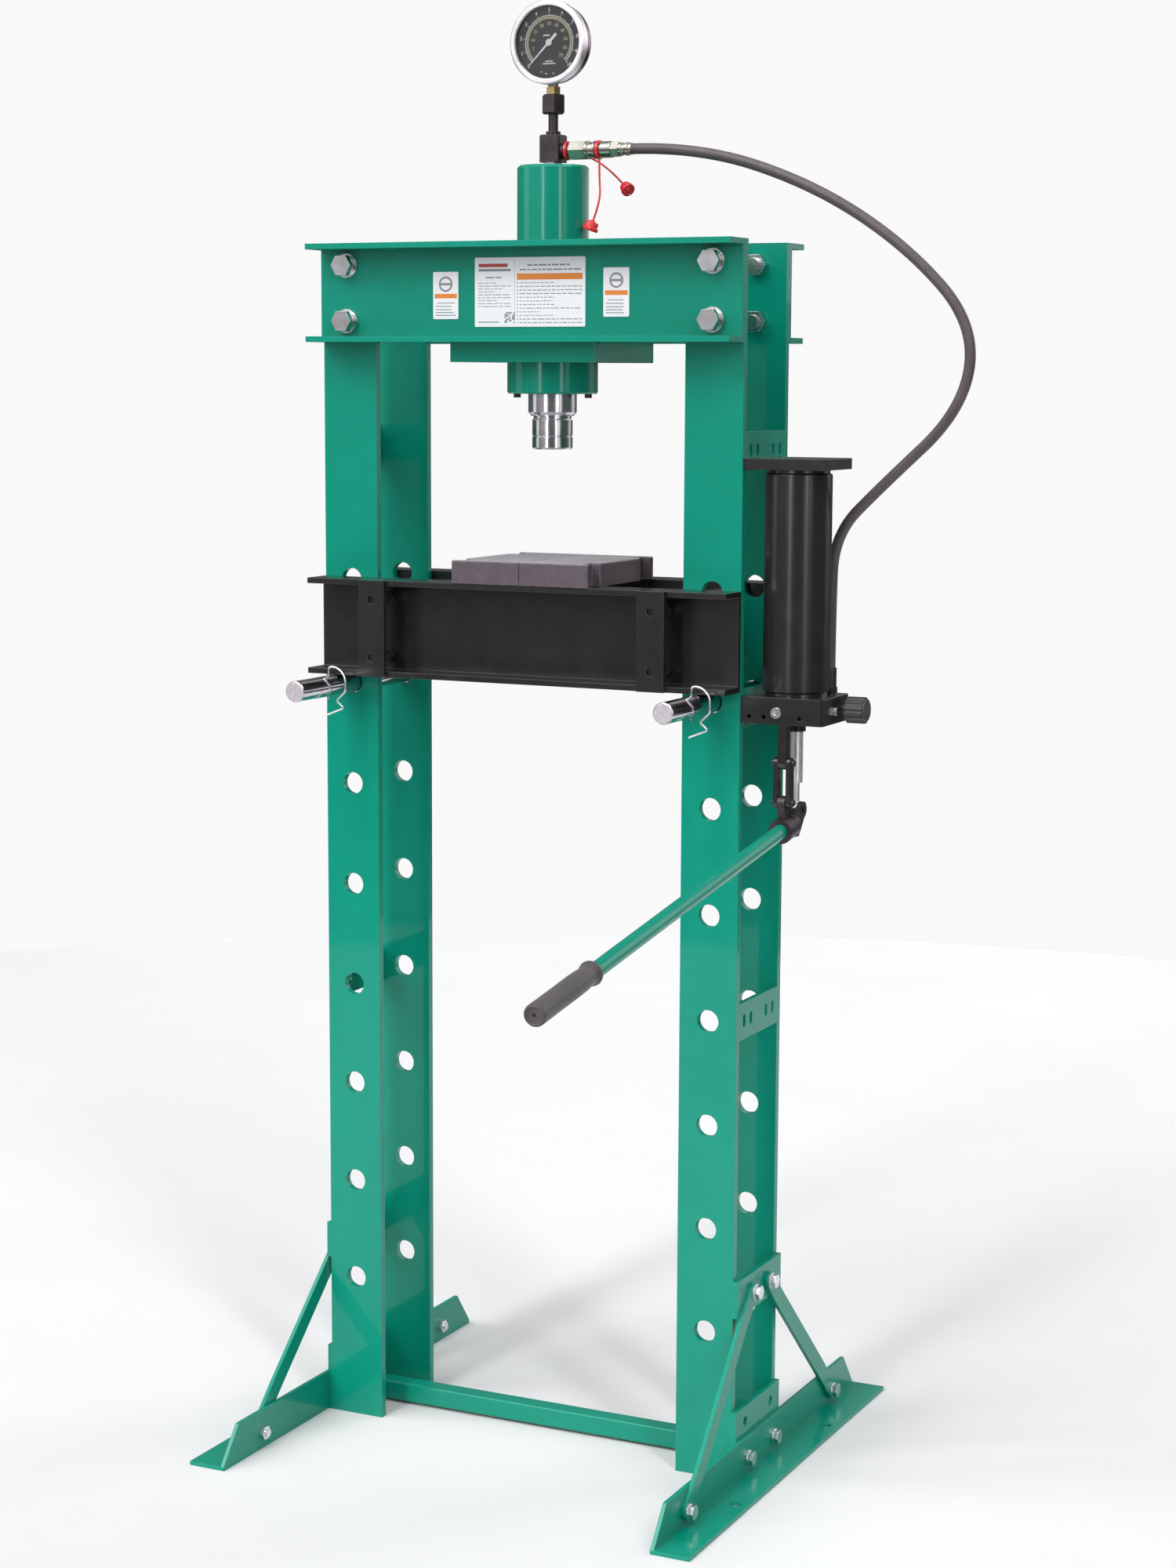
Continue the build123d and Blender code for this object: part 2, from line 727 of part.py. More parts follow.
with BuildPart() as pin_clip_left:
    add(pin_clip_right.part.moved(Location((-2 * POST_X, 0, 0))))
pin_clip_left.part.label = "pin_clip_left"
export_step(pin_clip_left.part, "parts/pin_clip_left.step")

# ---------------------------------------------------------------- feet
with BuildPart() as foot_right:
    with BuildSketch(Plane.XZ.offset(FOOT_L)) as angle:
        with BuildLine():
            Polyline(
                (FOOT_X, 0),
                (FOOT_X + 50, 0),
                (FOOT_X + 50, FOOT_T),
                (FOOT_X + FOOT_T, FOOT_T),
                (FOOT_X + FOOT_T, FOOT_H),
                (FOOT_X, FOOT_H),
                close=True,
            )
        make_face()
        fillet(
            [
                v
                for v in angle.vertices()
                if abs(v.X - FOOT_X - FOOT_T) < 0.1 and abs(v.Z - FOOT_T) < 0.1
            ],
            radius=4,
        )
    extrude(amount=-2 * FOOT_L)
    with BuildSketch(Plane.YZ.offset(FOOT_X - 1)):
        with BuildLine():
            Polyline((-FOOT_L, FOOT_T), (-FOOT_L + 36, FOOT_H + 1), (-FOOT_L, FOOT_H + 1), close=True)
        make_face()
        with BuildLine():
            Polyline((FOOT_L, FOOT_T), (FOOT_L - 36, FOOT_H + 1), (FOOT_L, FOOT_H + 1), close=True)
        make_face()
    extrude(amount=15, mode=Mode.SUBTRACT)
    with BuildSketch(Plane.XY):
        with Locations((FLOOR_BOLT[0], -FLOOR_BOLT[1]), FLOOR_BOLT):
            Circle(7)
    extrude(amount=FOOT_T + 1, mode=Mode.SUBTRACT)
    with BuildSketch(Plane.YZ.offset(FOOT_X - 1)):
        with Locations(
            *[(s * y, BOLT_LOW) for s in (-1, 1) for y in (POST_BOLT_Y, BRACE_Y[1])]
        ):
            Circle(5.5)
    extrude(amount=FOOT_T + 2, mode=Mode.SUBTRACT)
foot_right.part.label = "foot_right"
export_step(foot_right.part, "parts/foot_right.step")

with BuildPart() as foot_left:
    mirror(foot_right.part, about=Plane.YZ)
foot_left.part.label = "foot_left"
export_step(foot_left.part, "parts/foot_left.step")

# Flat braces from the outside of the brace plate down to the outside of the
# foot's leg, bent out by the leg's thickness on the way.
BRACE_W = 22.0
BRACE_T = 5.0
brace_dir = (0, -(BRACE_Y[1] - BRACE_Y[0]), -(BRACE_Z[0] - BRACE_Z[1]))
brace_l = math.hypot(brace_dir[1], brace_dir[2])
brace_at = (FOOT_X, -BRACE_Y[0], BRACE_Z[0])
brace_end = BRACE_W / 2

with BuildPart() as braces_right:
    with BuildSketch(
        Plane(origin=brace_at, x_dir=brace_dir, z_dir=(0, brace_dir[2], -brace_dir[1]))
    ):
        with BuildLine():
            Polyline(
                (-brace_end, 0),
                (44, 0),
                (brace_l - 62, BRACE_T),
                (brace_l + brace_end, BRACE_T),
                (brace_l + brace_end, 2 * BRACE_T),
                (brace_l - 62.2, 2 * BRACE_T),
                (43.8, BRACE_T),
                (-brace_end, BRACE_T),
                close=True,
            )
        make_face()
    extrude(amount=BRACE_W / 2, both=True)
    with BuildSketch(Plane(origin=brace_at, x_dir=brace_dir, z_dir=(1, 0, 0))):
        with Locations((brace_l / 2, 0)):
            SlotCenterToCenter(brace_l, BRACE_W)
    extrude(amount=12, mode=Mode.INTERSECT)
    with BuildSketch(Plane(origin=brace_at, x_dir=brace_dir, z_dir=(1, 0, 0))):
        with Locations((0, 0), (brace_l, 0)):
            Circle(5.5)
    extrude(amount=12, mode=Mode.SUBTRACT)
    mirror(about=Plane.XZ)
braces_right.part.label = "braces_right"
export_step(braces_right.part, "parts/braces_right.step")

with BuildPart() as braces_left:
    mirror(braces_right.part, about=Plane.YZ)
braces_left.part.label = "braces_left"
export_step(braces_left.part, "parts/braces_left.step")

# Square tube that ties the two foot plates together.
with BuildPart() as tie_bar:
    with BuildSketch(Plane.YZ.offset(-OUTER)):
        with Locations((0, 16)):
            RectangleRounded(25, 25, 3)
            RectangleRounded(21, 21, 1.5, mode=Mode.SUBTRACT)
    extrude(amount=2 * OUTER)
tie_bar.part.label = "tie_bar"
export_step(tie_bar.part, "parts/tie_bar.step")

# M10 bolts: foot to post, braces to the brace plate, braces to the foot.
foot_bolt_sets = (
    ([(-POST_BOLT_Y, BOLT_LOW), (POST_BOLT_Y, BOLT_LOW)], FOOT_X + 5, 11),
    ([(-BRACE_Y[0], BRACE_Z[0]), (BRACE_Y[0], BRACE_Z[0])], FOOT_X + 5, 11),
    ([(-BRACE_Y[1], BRACE_Z[1]), (BRACE_Y[1], BRACE_Z[1])], FOOT_X + 10, 10),
)

with BuildPart() as foot_bolts:
    for at, face, grip in foot_bolt_sets:
        with BuildSketch(Plane.YZ.offset(face + 2)):
            with Locations(*at):
                RegularPolygon(radius=8, side_count=6, major_radius=False)
        extrude(amount=6.4)
        with BuildSketch(Plane.YZ.offset(face + 2)):
            with Locations(*at):
                Circle(5)
        extrude(amount=-(2 + grip + 11))
        with BuildSketch(Plane.YZ.offset(face - grip)):
            with Locations(*at):
                RegularPolygon(radius=8, side_count=6, major_radius=False)
                Circle(5.15, mode=Mode.SUBTRACT)
        extrude(amount=-8)
    mirror(about=Plane.YZ)
foot_bolts.part.label = "foot_bolts"
export_step(foot_bolts.part, "parts/foot_bolts.step")

with BuildPart() as foot_washers:
    for at, face, grip in foot_bolt_sets:
        with BuildSketch(Plane.YZ.offset(face)):
            with Locations(*at):
                Circle(10)
                Circle(5.3, mode=Mode.SUBTRACT)
        extrude(amount=2)
    mirror(about=Plane.YZ)
foot_washers.part.label = "foot_washers"
export_step(foot_washers.part, "parts/foot_washers.step")

# ---------------------------------------------------------------- pump body
bx0, bx1, by0, by1, bz0, bz1 = BLOCK
PIVOT_R = 4.0

with BuildPart() as pump_block:
    with BuildSketch(Plane.XY.offset(bz0)):
        with Locations(((bx0 + bx1) / 2, (by0 + by1) / 2)):
            Rectangle(bx1 - bx0, by1 - by0)
    extrude(amount=bz1 - bz0)
    chamfer(pump_block.edges().filter_by(Axis.Z).sort_by(Axis.X)[-2:], 3)
    # Lug with the upper link pin.
    with BuildSketch(Plane.YZ.offset(PUMP_X - 5)):
        with Locations((LINK_Y, (LINK_A + bz0) / 2)):
            Rectangle(16, bz0 - LINK_A)
        with Locations((LINK_Y, LINK_A)):
            Circle(8)
    extrude(amount=10)
    with BuildSketch(Plane.YZ.offset(PUMP_X - 14)):
        with Locations((LINK_Y, LINK_A)):
            Circle(PIVOT_R)
    extrude(amount=28)
    # Gland and plunger bore.
    with BuildSketch(Plane.XY.offset(bz0 - 12)):
        with Locations((PUMP_X, PLUNGER_Y)):
            Circle(11)
    extrude(amount=12)
    with BuildSketch(Plane.XY.offset(bz0 - 12)):
        with Locations((PUMP_X, PLUNGER_Y)):
            Circle(ROD_R + 0.05)
    extrude(amount=bz1 - bz0 + 12, mode=Mode.SUBTRACT)
    # Blind holes in the front face.
    with BuildSketch(Plane.XZ.offset(-by0)):
        with Locations((296, 950), (315, 950), (360, 950)):
            Circle(3)
    extrude(amount=-8, mode=Mode.SUBTRACT)
    # Bore for the release valve stem, in the outer side.
    with BuildSketch(Plane.YZ.offset(bx1)):
        with Locations((-3, 957)):
            Circle(5.05)
    extrude(amount=-18, mode=Mode.SUBTRACT)
pump_block.part.label = "pump_block"
export_step(pump_block.part, "parts/pump_block.step")

with BuildPart() as pump_plugs:
    with BuildSketch(Plane.XZ.offset(-by0)):
        with Locations((331, 956)):
            Circle(6.5)
            RegularPolygon(radius=2.5, side_count=6, major_radius=False, mode=Mode.SUBTRACT)
    extrude(amount=3)
    with BuildSketch(Plane.XZ.offset(-by0)):
        with Locations((331, 956)):
            Circle(6.5)
    extrude(amount=1)
    with BuildSketch(Plane.YZ.offset(bx1)):
        with Locations((-30, 957)):
            RegularPolygon(radius=4.5, side_count=6, major_radius=False)
    extrude(amount=4)
pump_plugs.part.label = "pump_plugs"
export_step(pump_plugs.part, "parts/pump_plugs.step")

with BuildPart() as pump_tank:
    with BuildSketch(Plane.XZ.offset(-PUMP_Y)):
        with BuildLine():
            Polyline(
                (PUMP_X, bz1),
                (PUMP_X + TANK_R - 3, bz1),
                (PUMP_X + TANK_R - 3, bz1 + 4),
                (PUMP_X + TANK_R, bz1 + 6),
                (PUMP_X + TANK_R, TANK_TOP - 6),
                (PUMP_X + TANK_R - 3, TANK_TOP - 4),
                (PUMP_X + TANK_R - 3, TANK_TOP),
                (PUMP_X, TANK_TOP),
                close=True,
            )
        make_face()
    revolve(axis=Axis((PUMP_X, PUMP_Y, 0), (0, 0, 1)))
    # Oil space.
    with BuildSketch(Plane.XY.offset(bz1 + 24)):
        with Locations((PUMP_X, PUMP_Y)):
            Circle(TANK_R - 6.5)
    extrude(amount=TANK_TOP - bz1 - 24, mode=Mode.SUBTRACT)
    # Top of the plunger bore.
    with BuildSketch(Plane.XY.offset(bz1)):
        with Locations((PUMP_X, PLUNGER_Y)):
            Circle(ROD_R + 0.05)
    extrude(amount=18, mode=Mode.SUBTRACT)
pump_tank.part.label = "pump_tank"
export_step(pump_tank.part, "parts/pump_tank.step")

with BuildPart() as pump_top_plate:
    with BuildSketch(Plane.XY.offset(TANK_TOP)):
        with Locations(((bx0 + bx1) / 2, (by0 + by1) / 2)):
            Rectangle(bx1 - bx0, by1 - by0)
    extrude(amount=CAP_T)
    chamfer(pump_top_plate.edges().filter_by(Axis.Z).sort_by(Axis.X)[-2:], 3)
pump_top_plate.part.label = "pump_top_plate"
export_step(pump_top_plate.part, "parts/pump_top_plate.step")

# Outlet at the back of the block, turned up to the hose.
OUT = (358.0, 36.0)
OUT_Z = 957.0
HOSE_END_Z = 1002.0

with BuildPart() as pump_outlet:
    with BuildSketch(Plane.XZ.offset(-by1)):
        with Locations((OUT[0], OUT_Z)):
            Circle(7)
    extrude(amount=-6)
    with BuildSketch(Plane.XY.offset(OUT_Z - 10)):
        with Locations(OUT):
            RectangleRounded(20, 20, 3)
    extrude(amount=20)
    with BuildSketch(Plane.XY.offset(OUT_Z + 10)):
        with Locations(OUT):
            RegularPolygon(radius=8.5, side_count=6, major_radius=False)
    extrude(amount=12)
    with BuildSketch(Plane.XY.offset(OUT_Z + 22)):
        with Locations(OUT):
            Circle(8)
    extrude(amount=HOSE_END_Z - OUT_Z - 22)
pump_outlet.part.label = "pump_outlet"
export_step(pump_outlet.part, "parts/pump_outlet.step")

# ---------------------------------------------------------------- pump linkage
# Two bars from the block's lug down to the handle, joined by the fulcrum pin.
with BuildPart() as pump_link:
    with BuildSketch(Plane.YZ.offset(PUMP_X - 10.5)):
        with Locations((LINK_Y, (LINK_A + LINK_B) / 2)):
            SlotCenterToCenter(LINK_A - LINK_B, 14, rotation=90)
        with Locations((LINK_Y, LINK_A)):
            Circle(PIVOT_R + 0.05, mode=Mode.SUBTRACT)
    extrude(amount=5)
    with BuildSketch(Plane.YZ.offset(PUMP_X + 5.5)):
        with Locations((LINK_Y, (LINK_A + LINK_B) / 2)):
            SlotCenterToCenter(LINK_A - LINK_B, 14, rotation=90)
        with Locations((LINK_Y, LINK_A)):
            Circle(PIVOT_R + 0.05, mode=Mode.SUBTRACT)
    extrude(amount=5)
    with BuildSketch(Plane.YZ.offset(PUMP_X - 14)):
        with Locations((LINK_Y, LINK_B)):
            Circle(PIVOT_R)
    extrude(amount=28)
pump_link.part.label = "pump_link"
export_step(pump_link.part, "parts/pump_link.step")

# Plunger with a flat tongue at its foot. The tongue's eye is larger than the
# pin that passes through it.
with BuildPart() as pump_plunger:
    with BuildSketch(Plane.XY.offset(868)):
        with Locations((PUMP_X, PLUNGER_Y)):
            Circle(ROD_R)
    extrude(amount=87)
    with BuildSketch(Plane.XY.offset(844)):
        with Locations((PUMP_X, PLUNGER_Y)):
            Circle(4.5)
    extrude(amount=24)
    with BuildSketch(Plane.YZ.offset(PUMP_X - 5)):
        with Locations((PLUNGER_Y, LINK_C)):
            Circle(10.6)
    extrude(amount=10)
    with BuildSketch(Plane.YZ.offset(PUMP_X - 5)):
        with Locations((PLUNGER_Y, LINK_C)):
            Circle(PIVOT_R + EYE_GAP)
    extrude(amount=10, mode=Mode.SUBTRACT)
pump_plunger.part.label = "pump_plunger"
export_step(pump_plunger.part, "parts/pump_plunger.step")

# Cast socket: round barrel for the handle, a web up to the fulcrum pin and a
# fork with the pin that works the plunger.
tilt = math.radians(TILT)
ahead = (0, -math.cos(tilt), -math.sin(tilt))
seat = (PUMP_X, -68.6, 814.0)
SEAT_DEPTH = 30.0
socket_back = tuple(s - (SEAT_DEPTH + 2) * a for s, a in zip(seat, ahead))

with BuildPart() as handle_socket:
    with BuildSketch(Plane(origin=socket_back, x_dir=(1, 0, 0), z_dir=ahead)):
        Circle(15)
    extrude(amount=SEAT_DEPTH + 2)
    with BuildSketch(Plane.YZ.offset(PUMP_X - 10.5)):
        with BuildLine():
            Polyline(
                (-52, 806),
                (-50, 833),
                (PLUNGER_Y - 3, LINK_C + 9.5),
                (PLUNGER_Y + 9.5, LINK_C - 2),
                (-34, 805),
                close=True,
            )
        make_face()
        with Locations((PLUNGER_Y, LINK_C)):
            Circle(10)
    extrude(amount=21)
    with BuildSketch(Plane.YZ.offset(PUMP_X - 5.5)):
        with Locations((-11, LINK_C)):
            Rectangle(50, 80)
    extrude(amount=11, mode=Mode.SUBTRACT)
    with BuildSketch(Plane.YZ.offset(PUMP_X - 5)):
        with BuildLine():
            Polyline(
                (LINK_Y - 8, LINK_B - 1),
                (LINK_Y + 8, LINK_B - 1),
                (-44, 822),
                (LINK_Y - 5, 820),
                close=True,
            )
        make_face()
        with Locations((LINK_Y, LINK_B)):
            Circle(8.5)
    extrude(amount=10)
    with BuildSketch(Plane.YZ.offset(PUMP_X - 5)):
        with Locations((LINK_Y, LINK_B)):
            Circle(PIVOT_R + 0.05)
    extrude(amount=10, mode=Mode.SUBTRACT)
    with BuildSketch(Plane(origin=seat, x_dir=(1, 0, 0), z_dir=ahead)):
        Circle(TUBE_R)
    extrude(amount=10, mode=Mode.SUBTRACT)
    with BuildSketch(Plane(origin=seat, x_dir=(1, 0, 0), z_dir=ahead)):
        Circle(TUBE_R)
    extrude(amount=-SEAT_DEPTH, mode=Mode.SUBTRACT)
    with BuildSketch(Plane.YZ.offset(PUMP_X - 13)):
        with Locations((PLUNGER_Y, LINK_C)):
            Circle(PIVOT_R)
    extrude(amount=26)
handle_socket.part.label = "handle_socket"
export_step(handle_socket.part, "parts/handle_socket.step")

tube_foot = tuple(s - SEAT_DEPTH * a for s, a in zip(seat, ahead))
grip_foot = tuple(s + (TUBE_L - SEAT_DEPTH) * a for s, a in zip(seat, ahead))

with BuildPart() as handle_tube:
    with BuildSketch(Plane(origin=tube_foot, x_dir=(1, 0, 0), z_dir=ahead)):
        Circle(TUBE_R)
        Circle(TUBE_R - 2.5, mode=Mode.SUBTRACT)
    extrude(amount=TUBE_L + GRIP_L - 5)
handle_tube.part.label = "handle_tube"
export_step(handle_tube.part, "parts/handle_tube.step")

with BuildPart() as handle_grip:
    with BuildSketch(Plane(origin=grip_foot, x_dir=(1, 0, 0), z_dir=ahead)):
        Circle(14)
    extrude(amount=12)
    with BuildSketch(Plane(origin=grip_foot, x_dir=(1, 0, 0), z_dir=ahead)):
        Circle(12.5)
    extrude(amount=GRIP_L)
    with BuildSketch(Plane(origin=grip_foot, x_dir=(1, 0, 0), z_dir=ahead)):
        Circle(TUBE_R)
    extrude(amount=GRIP_L - 5, mode=Mode.SUBTRACT)
    with BuildSketch(Plane(origin=grip_foot, x_dir=(1, 0, 0), z_dir=ahead)):
        Circle(1.8)
    extrude(amount=GRIP_L, mode=Mode.SUBTRACT)
handle_grip.part.label = "handle_grip"
export_step(handle_grip.part, "parts/handle_grip.step")

# ---------------------------------------------------------------- release knob
with BuildPart() as release_knob:
    with BuildSketch(Plane.YZ.offset(bx1 + 8)):
        with Locations((-3, 957)):
            Circle(16)
        with Locations((-3, 957)):
            with PolarLocations(17, 12):
                Circle(2.5, mode=Mode.SUBTRACT)
    extrude(amount=22)
    with BuildSketch(Plane.YZ.offset(bx1 + 30)):
        with Locations((-3, 957)):
            Circle(13.5)
    extrude(amount=2, taper=20)
    with BuildSketch(Plane.YZ.offset(bx1 - 16)):
        with Locations((-3, 957)):
            Circle(5)
    extrude(amount=24)
release_knob.part.label = "release_knob"
export_step(release_knob.part, "parts/release_knob.step")

# ---------------------------------------------------------------- hose
hose_route = [
    (107, 0, 1621.5),
    (195, 0, 1621.5),
    (338, 4, 1575),
    (455, 8, 1502),
    (540, 12, 1411),
    (526, 16, 1313),
    (425, 21, 1222),
    (364, 27, 1163),
    (358, 36, 1072),
    (358, 36, 1002),
]
print("hose radii", [round(r, 1) for r in bends(hose_route)])

with BuildPart() as hose:
    with BuildLine() as hose_path:
        FilletPolyline(*hose_route, radius=bends(hose_route))
    with BuildSketch(Plane.YZ.offset(107)):
        with Locations((0, LINE_Z)):
            Circle(HOSE_R)
    sweep()
hose.part.label = "hose"
export_step(hose.part, "parts/hose.step")
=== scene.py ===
import json
import math
import random

import bmesh
import bpy
from mathutils import Matrix, Vector


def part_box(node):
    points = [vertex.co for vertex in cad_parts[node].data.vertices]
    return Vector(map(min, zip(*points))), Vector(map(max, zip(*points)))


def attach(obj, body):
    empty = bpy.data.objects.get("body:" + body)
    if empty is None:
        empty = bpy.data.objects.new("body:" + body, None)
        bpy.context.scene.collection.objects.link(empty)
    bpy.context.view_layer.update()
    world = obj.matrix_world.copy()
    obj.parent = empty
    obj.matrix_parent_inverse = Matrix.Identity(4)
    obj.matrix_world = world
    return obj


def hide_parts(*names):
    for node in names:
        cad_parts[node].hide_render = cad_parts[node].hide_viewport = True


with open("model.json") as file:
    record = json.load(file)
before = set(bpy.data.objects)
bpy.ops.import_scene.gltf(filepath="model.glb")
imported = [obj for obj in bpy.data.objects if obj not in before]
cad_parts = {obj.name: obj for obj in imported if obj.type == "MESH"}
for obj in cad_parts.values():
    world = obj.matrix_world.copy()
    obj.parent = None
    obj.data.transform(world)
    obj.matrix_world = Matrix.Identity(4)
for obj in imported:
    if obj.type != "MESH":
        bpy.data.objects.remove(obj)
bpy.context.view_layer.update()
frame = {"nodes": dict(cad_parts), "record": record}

SCENE = bpy.context.scene
NODES = frame["nodes"]
random.seed(7)


# ------------------------------------------------------------------ camera
def make_camera():
    yaw, pitch, roll = 0.45006, 0.13884, 0.004538
    w = Vector((-math.sin(yaw) * math.cos(pitch), math.cos(yaw) * math.cos(pitch), -math.sin(pitch)))
    r = Vector((math.cos(yaw), math.sin(yaw), 0))
    u = r.cross(w)
    c, s = math.cos(roll), math.sin(roll)
    r2, u2 = c * r + s * u, -s * r + c * u
    data = bpy.data.cameras.new("camera")
    data.sensor_fit = "AUTO"
    data.sensor_width = 36.0
    data.lens = 3747.57 * 36.0 / 2000.0
    data.clip_start, data.clip_end = 0.05, 60
    cam = bpy.data.objects.new("camera", data)
    SCENE.collection.objects.link(cam)
    back = -w
    m = Matrix(((r2.x, u2.x, back.x, 1.63394),
                (r2.y, u2.y, back.y, -3.27641),
                (r2.z, u2.z, back.z, 1.35301),
                (0, 0, 0, 1)))
    cam.matrix_world = m
    SCENE.camera = cam
    return cam


make_camera()


# ------------------------------------------------------------------ materials
class Mat:
    """A principled material with object coordinates, in metres."""

    def __init__(self, name):
        self.m = bpy.data.materials.new(name)
        self.m.use_nodes = True
        self.nt = self.m.node_tree
        self.nt.nodes.clear()
        out = self.node("ShaderNodeOutputMaterial")
        self.b = self.node("ShaderNodeBsdfPrincipled")
        self.link(self.b, 0, out, 0)
        self.co = self.node("ShaderNodeTexCoord").outputs["Object"]

    def node(self, kind, **props):
        n = self.nt.nodes.new(kind)
        for k, v in props.items():
            setattr(n, k, v)
        return n

    def link(self, a, ao, b, bi):
        self.nt.links.new(a.outputs[ao], b.inputs[bi])

    def set(self, **kw):
        names = {"metal": "Metallic", "rough": "Roughness", "coat": "Coat Weight",
                 "coat_rough": "Coat Roughness", "spec": "Specular IOR Level",
                 "sheen": "Sheen Weight", "sheen_rough": "Sheen Roughness",
                 "sub": "Subsurface Weight", "trans": "Transmission Weight",
                 "ior": "IOR", "aniso": "Anisotropic", "color": "Base Color",
                 "alpha": "Alpha", "coat_ior": "Coat IOR"}
        for k, v in kw.items():
            if k == "color" and len(v) == 3:
                v = (*v, 1)
            self.b.inputs[names[k]].default_value = v
        return self

    def scaled(self, s):
        n = self.node("ShaderNodeMapping")
        self.nt.links.new(self.co, n.inputs["Vector"])
        n.inputs["Scale"].default_value = s
        return n.outputs[0]

    def noise(self, scale, detail=3, rough=0.5, co=None, dist=0.0):
        n = self.node("ShaderNodeTexNoise")
        n.inputs["Scale"].default_value = scale
        n.inputs["Detail"].default_value = detail
        n.inputs["Roughness"].default_value = rough
        n.inputs["Distortion"].default_value = dist
        self.nt.links.new(co or self.co, n.inputs["Vector"])
        return n.outputs["Fac"]

    def ramp(self, fac, stops):
        n = self.node("ShaderNodeValToRGB")
        e = n.color_ramp.elements
        while len(e) < len(stops):
            e.new(0.5)
        for el, (p, c) in zip(e, stops):
            el.position = p
            el.color = (c, c, c, 1) if isinstance(c, (int, float)) else (*c, 1)
        self.nt.links.new(fac, n.inputs[0])
        return n.outputs["Color"]

    def rng(self, fac, a, b, lo=0.0, hi=1.0):
        n = self.node("ShaderNodeMapRange")
        n.inputs["From Min"].default_value = lo
        n.inputs["From Max"].default_value = hi
        n.inputs["To Min"].default_value = a
        n.inputs["To Max"].default_value = b
        self.nt.links.new(fac, n.inputs["Value"])
        return n.outputs[0]

    def math(self, op, a, b=None):
        n = self.node("ShaderNodeMath", operation=op)
        for i, v in enumerate((a, b)):
            if v is None:
                continue
            if isinstance(v, (int, float)):
                n.inputs[i].default_value = v
            else:
                self.nt.links.new(v, n.inputs[i])
        return n.outputs[0]

    def mix(self, fac, a, b):
        n = self.node("ShaderNodeMix", data_type="RGBA")
        if isinstance(fac, (int, float)):
            n.inputs[0].default_value = fac
        else:
            self.nt.links.new(fac, n.inputs[0])
        for i, v in ((6, a), (7, b)):
            if isinstance(v, tuple):
                n.inputs[i].default_value = (*v, 1)
            else:
                self.nt.links.new(v, n.inputs[i])
        return n.outputs[2]

    def to(self, socket, out):
        self.nt.links.new(out, self.b.inputs[socket])
        return self

    def edges(self, radius=0.0012):
        """Rounded edge normal, and a mask that is bright along outer edges."""
        bev = self.node("ShaderNodeBevel", samples=4)
        bev.inputs["Radius"].default_value = radius
        geo = self.node("ShaderNodeNewGeometry")
        dot = self.node("ShaderNodeVectorMath", operation="DOT_PRODUCT")
        self.link(bev, 0, dot, 0)
        self.link(geo, "Normal", dot, 1)
        mask = self.rng(dot.outputs["Value"], 1.0, 0.0, 0.82, 0.995)
        return bev.outputs[0], mask

    def bump(self, layers, normal=None):
        """layers: (height, distance in metres, strength)."""
        last = normal
        for h, d, s in layers:
            n = self.node("ShaderNodeBump")
            n.inputs["Distance"].default_value = d
            n.inputs["Strength"].default_value = s
            self.nt.links.new(h, n.inputs["Height"])
            if last is not None:
                self.nt.links.new(last, n.inputs["Normal"])
            last = n.outputs[0]
        self.nt.links.new(last, self.b.inputs["Normal"])
        return last


def paint(name, base, dark, light, rough=0.28, coat=0.38, peel=0.00005, edge_wear_and_highlight=(0.06, 0.38, 0.29), edge_wear_and_highlight_amount=0.6, spec=0.14):
    m = Mat(name).set(coat=coat, coat_rough=0.04, spec=spec)
    big = m.noise(3.1, 3, 0.55)
    mid = m.noise(38, 4, 0.6)
    fine = m.noise(420, 3, 0.6)
    tone = m.math("ADD", m.math("MULTIPLY", big, 0.65), m.math("MULTIPLY", mid, 0.35))
    col = m.ramp(tone, [(0.34, dark), (0.5, base), (0.66, light)])
    normal, edge = m.edges(0.0011)
    # Outer edges are painted lighter in the edge colour: partly edge wear, partly a painted highlight along the edges.
    edge_wear_and_highlight_mask = m.math("MULTIPLY", edge, m.rng(m.noise(95, 4, 0.7), 0.0, edge_wear_and_highlight_amount, 0.35, 0.62))
    col = m.mix(edge_wear_and_highlight_mask, col, edge_wear_and_highlight)
    speck = m.rng(m.noise(900, 2, 0.5), 0.0, 0.16, 0.72, 0.82)
    col = m.mix(speck, col, tuple(min(1, c * 1.5 + 0.03) for c in base))
    m.to("Base Color", col)
    m.to("Roughness", m.math("ADD", m.rng(mid, rough - 0.05, rough + 0.07), m.math("MULTIPLY", fine, 0.04)))
    m.bump([(m.noise(6, 2, 0.5), 0.0010, 0.12), (m.noise(240, 2, 0.5), peel, 0.32), (fine, peel * 0.3, 0.2)], normal)
    return m.m


def metal(name, base, rough=0.25, var=0.08, tint=None, bump=0.00004, brushed=None, spots=0.0, edge_r=0.0006):
    m = Mat(name).set(metal=1.0)
    a = m.noise(60, 4, 0.6)
    b = m.noise(600, 3, 0.6)
    lo = tuple(c * (1 - var) for c in base)
    hi = tuple(min(1, c * (1 + var)) for c in base)
    col = m.ramp(a, [(0.35, lo), (0.65, hi)])
    if tint:
        col = m.mix(m.rng(m.noise(24, 3, 0.6), 0.0, 0.5, 0.45, 0.7), col, tint)
    if spots:
        col = m.mix(m.rng(m.noise(340, 4, 0.7), 0.0, spots, 0.60, 0.72), col, tuple(c * 0.35 for c in base))
    m.to("Base Color", col)
    m.to("Roughness", m.math("ADD", m.rng(a, rough * 0.75, rough * 1.25), m.math("MULTIPLY", b, rough * 0.25)))
    normal, edge = m.edges(edge_r)
    layers = [(b, bump, 0.5)]
    if brushed:
        layers.append((m.noise(1, 3, 0.6, m.scaled(brushed)), bump * 1.2, 0.6))
    m.bump(layers, normal)
    return m.m


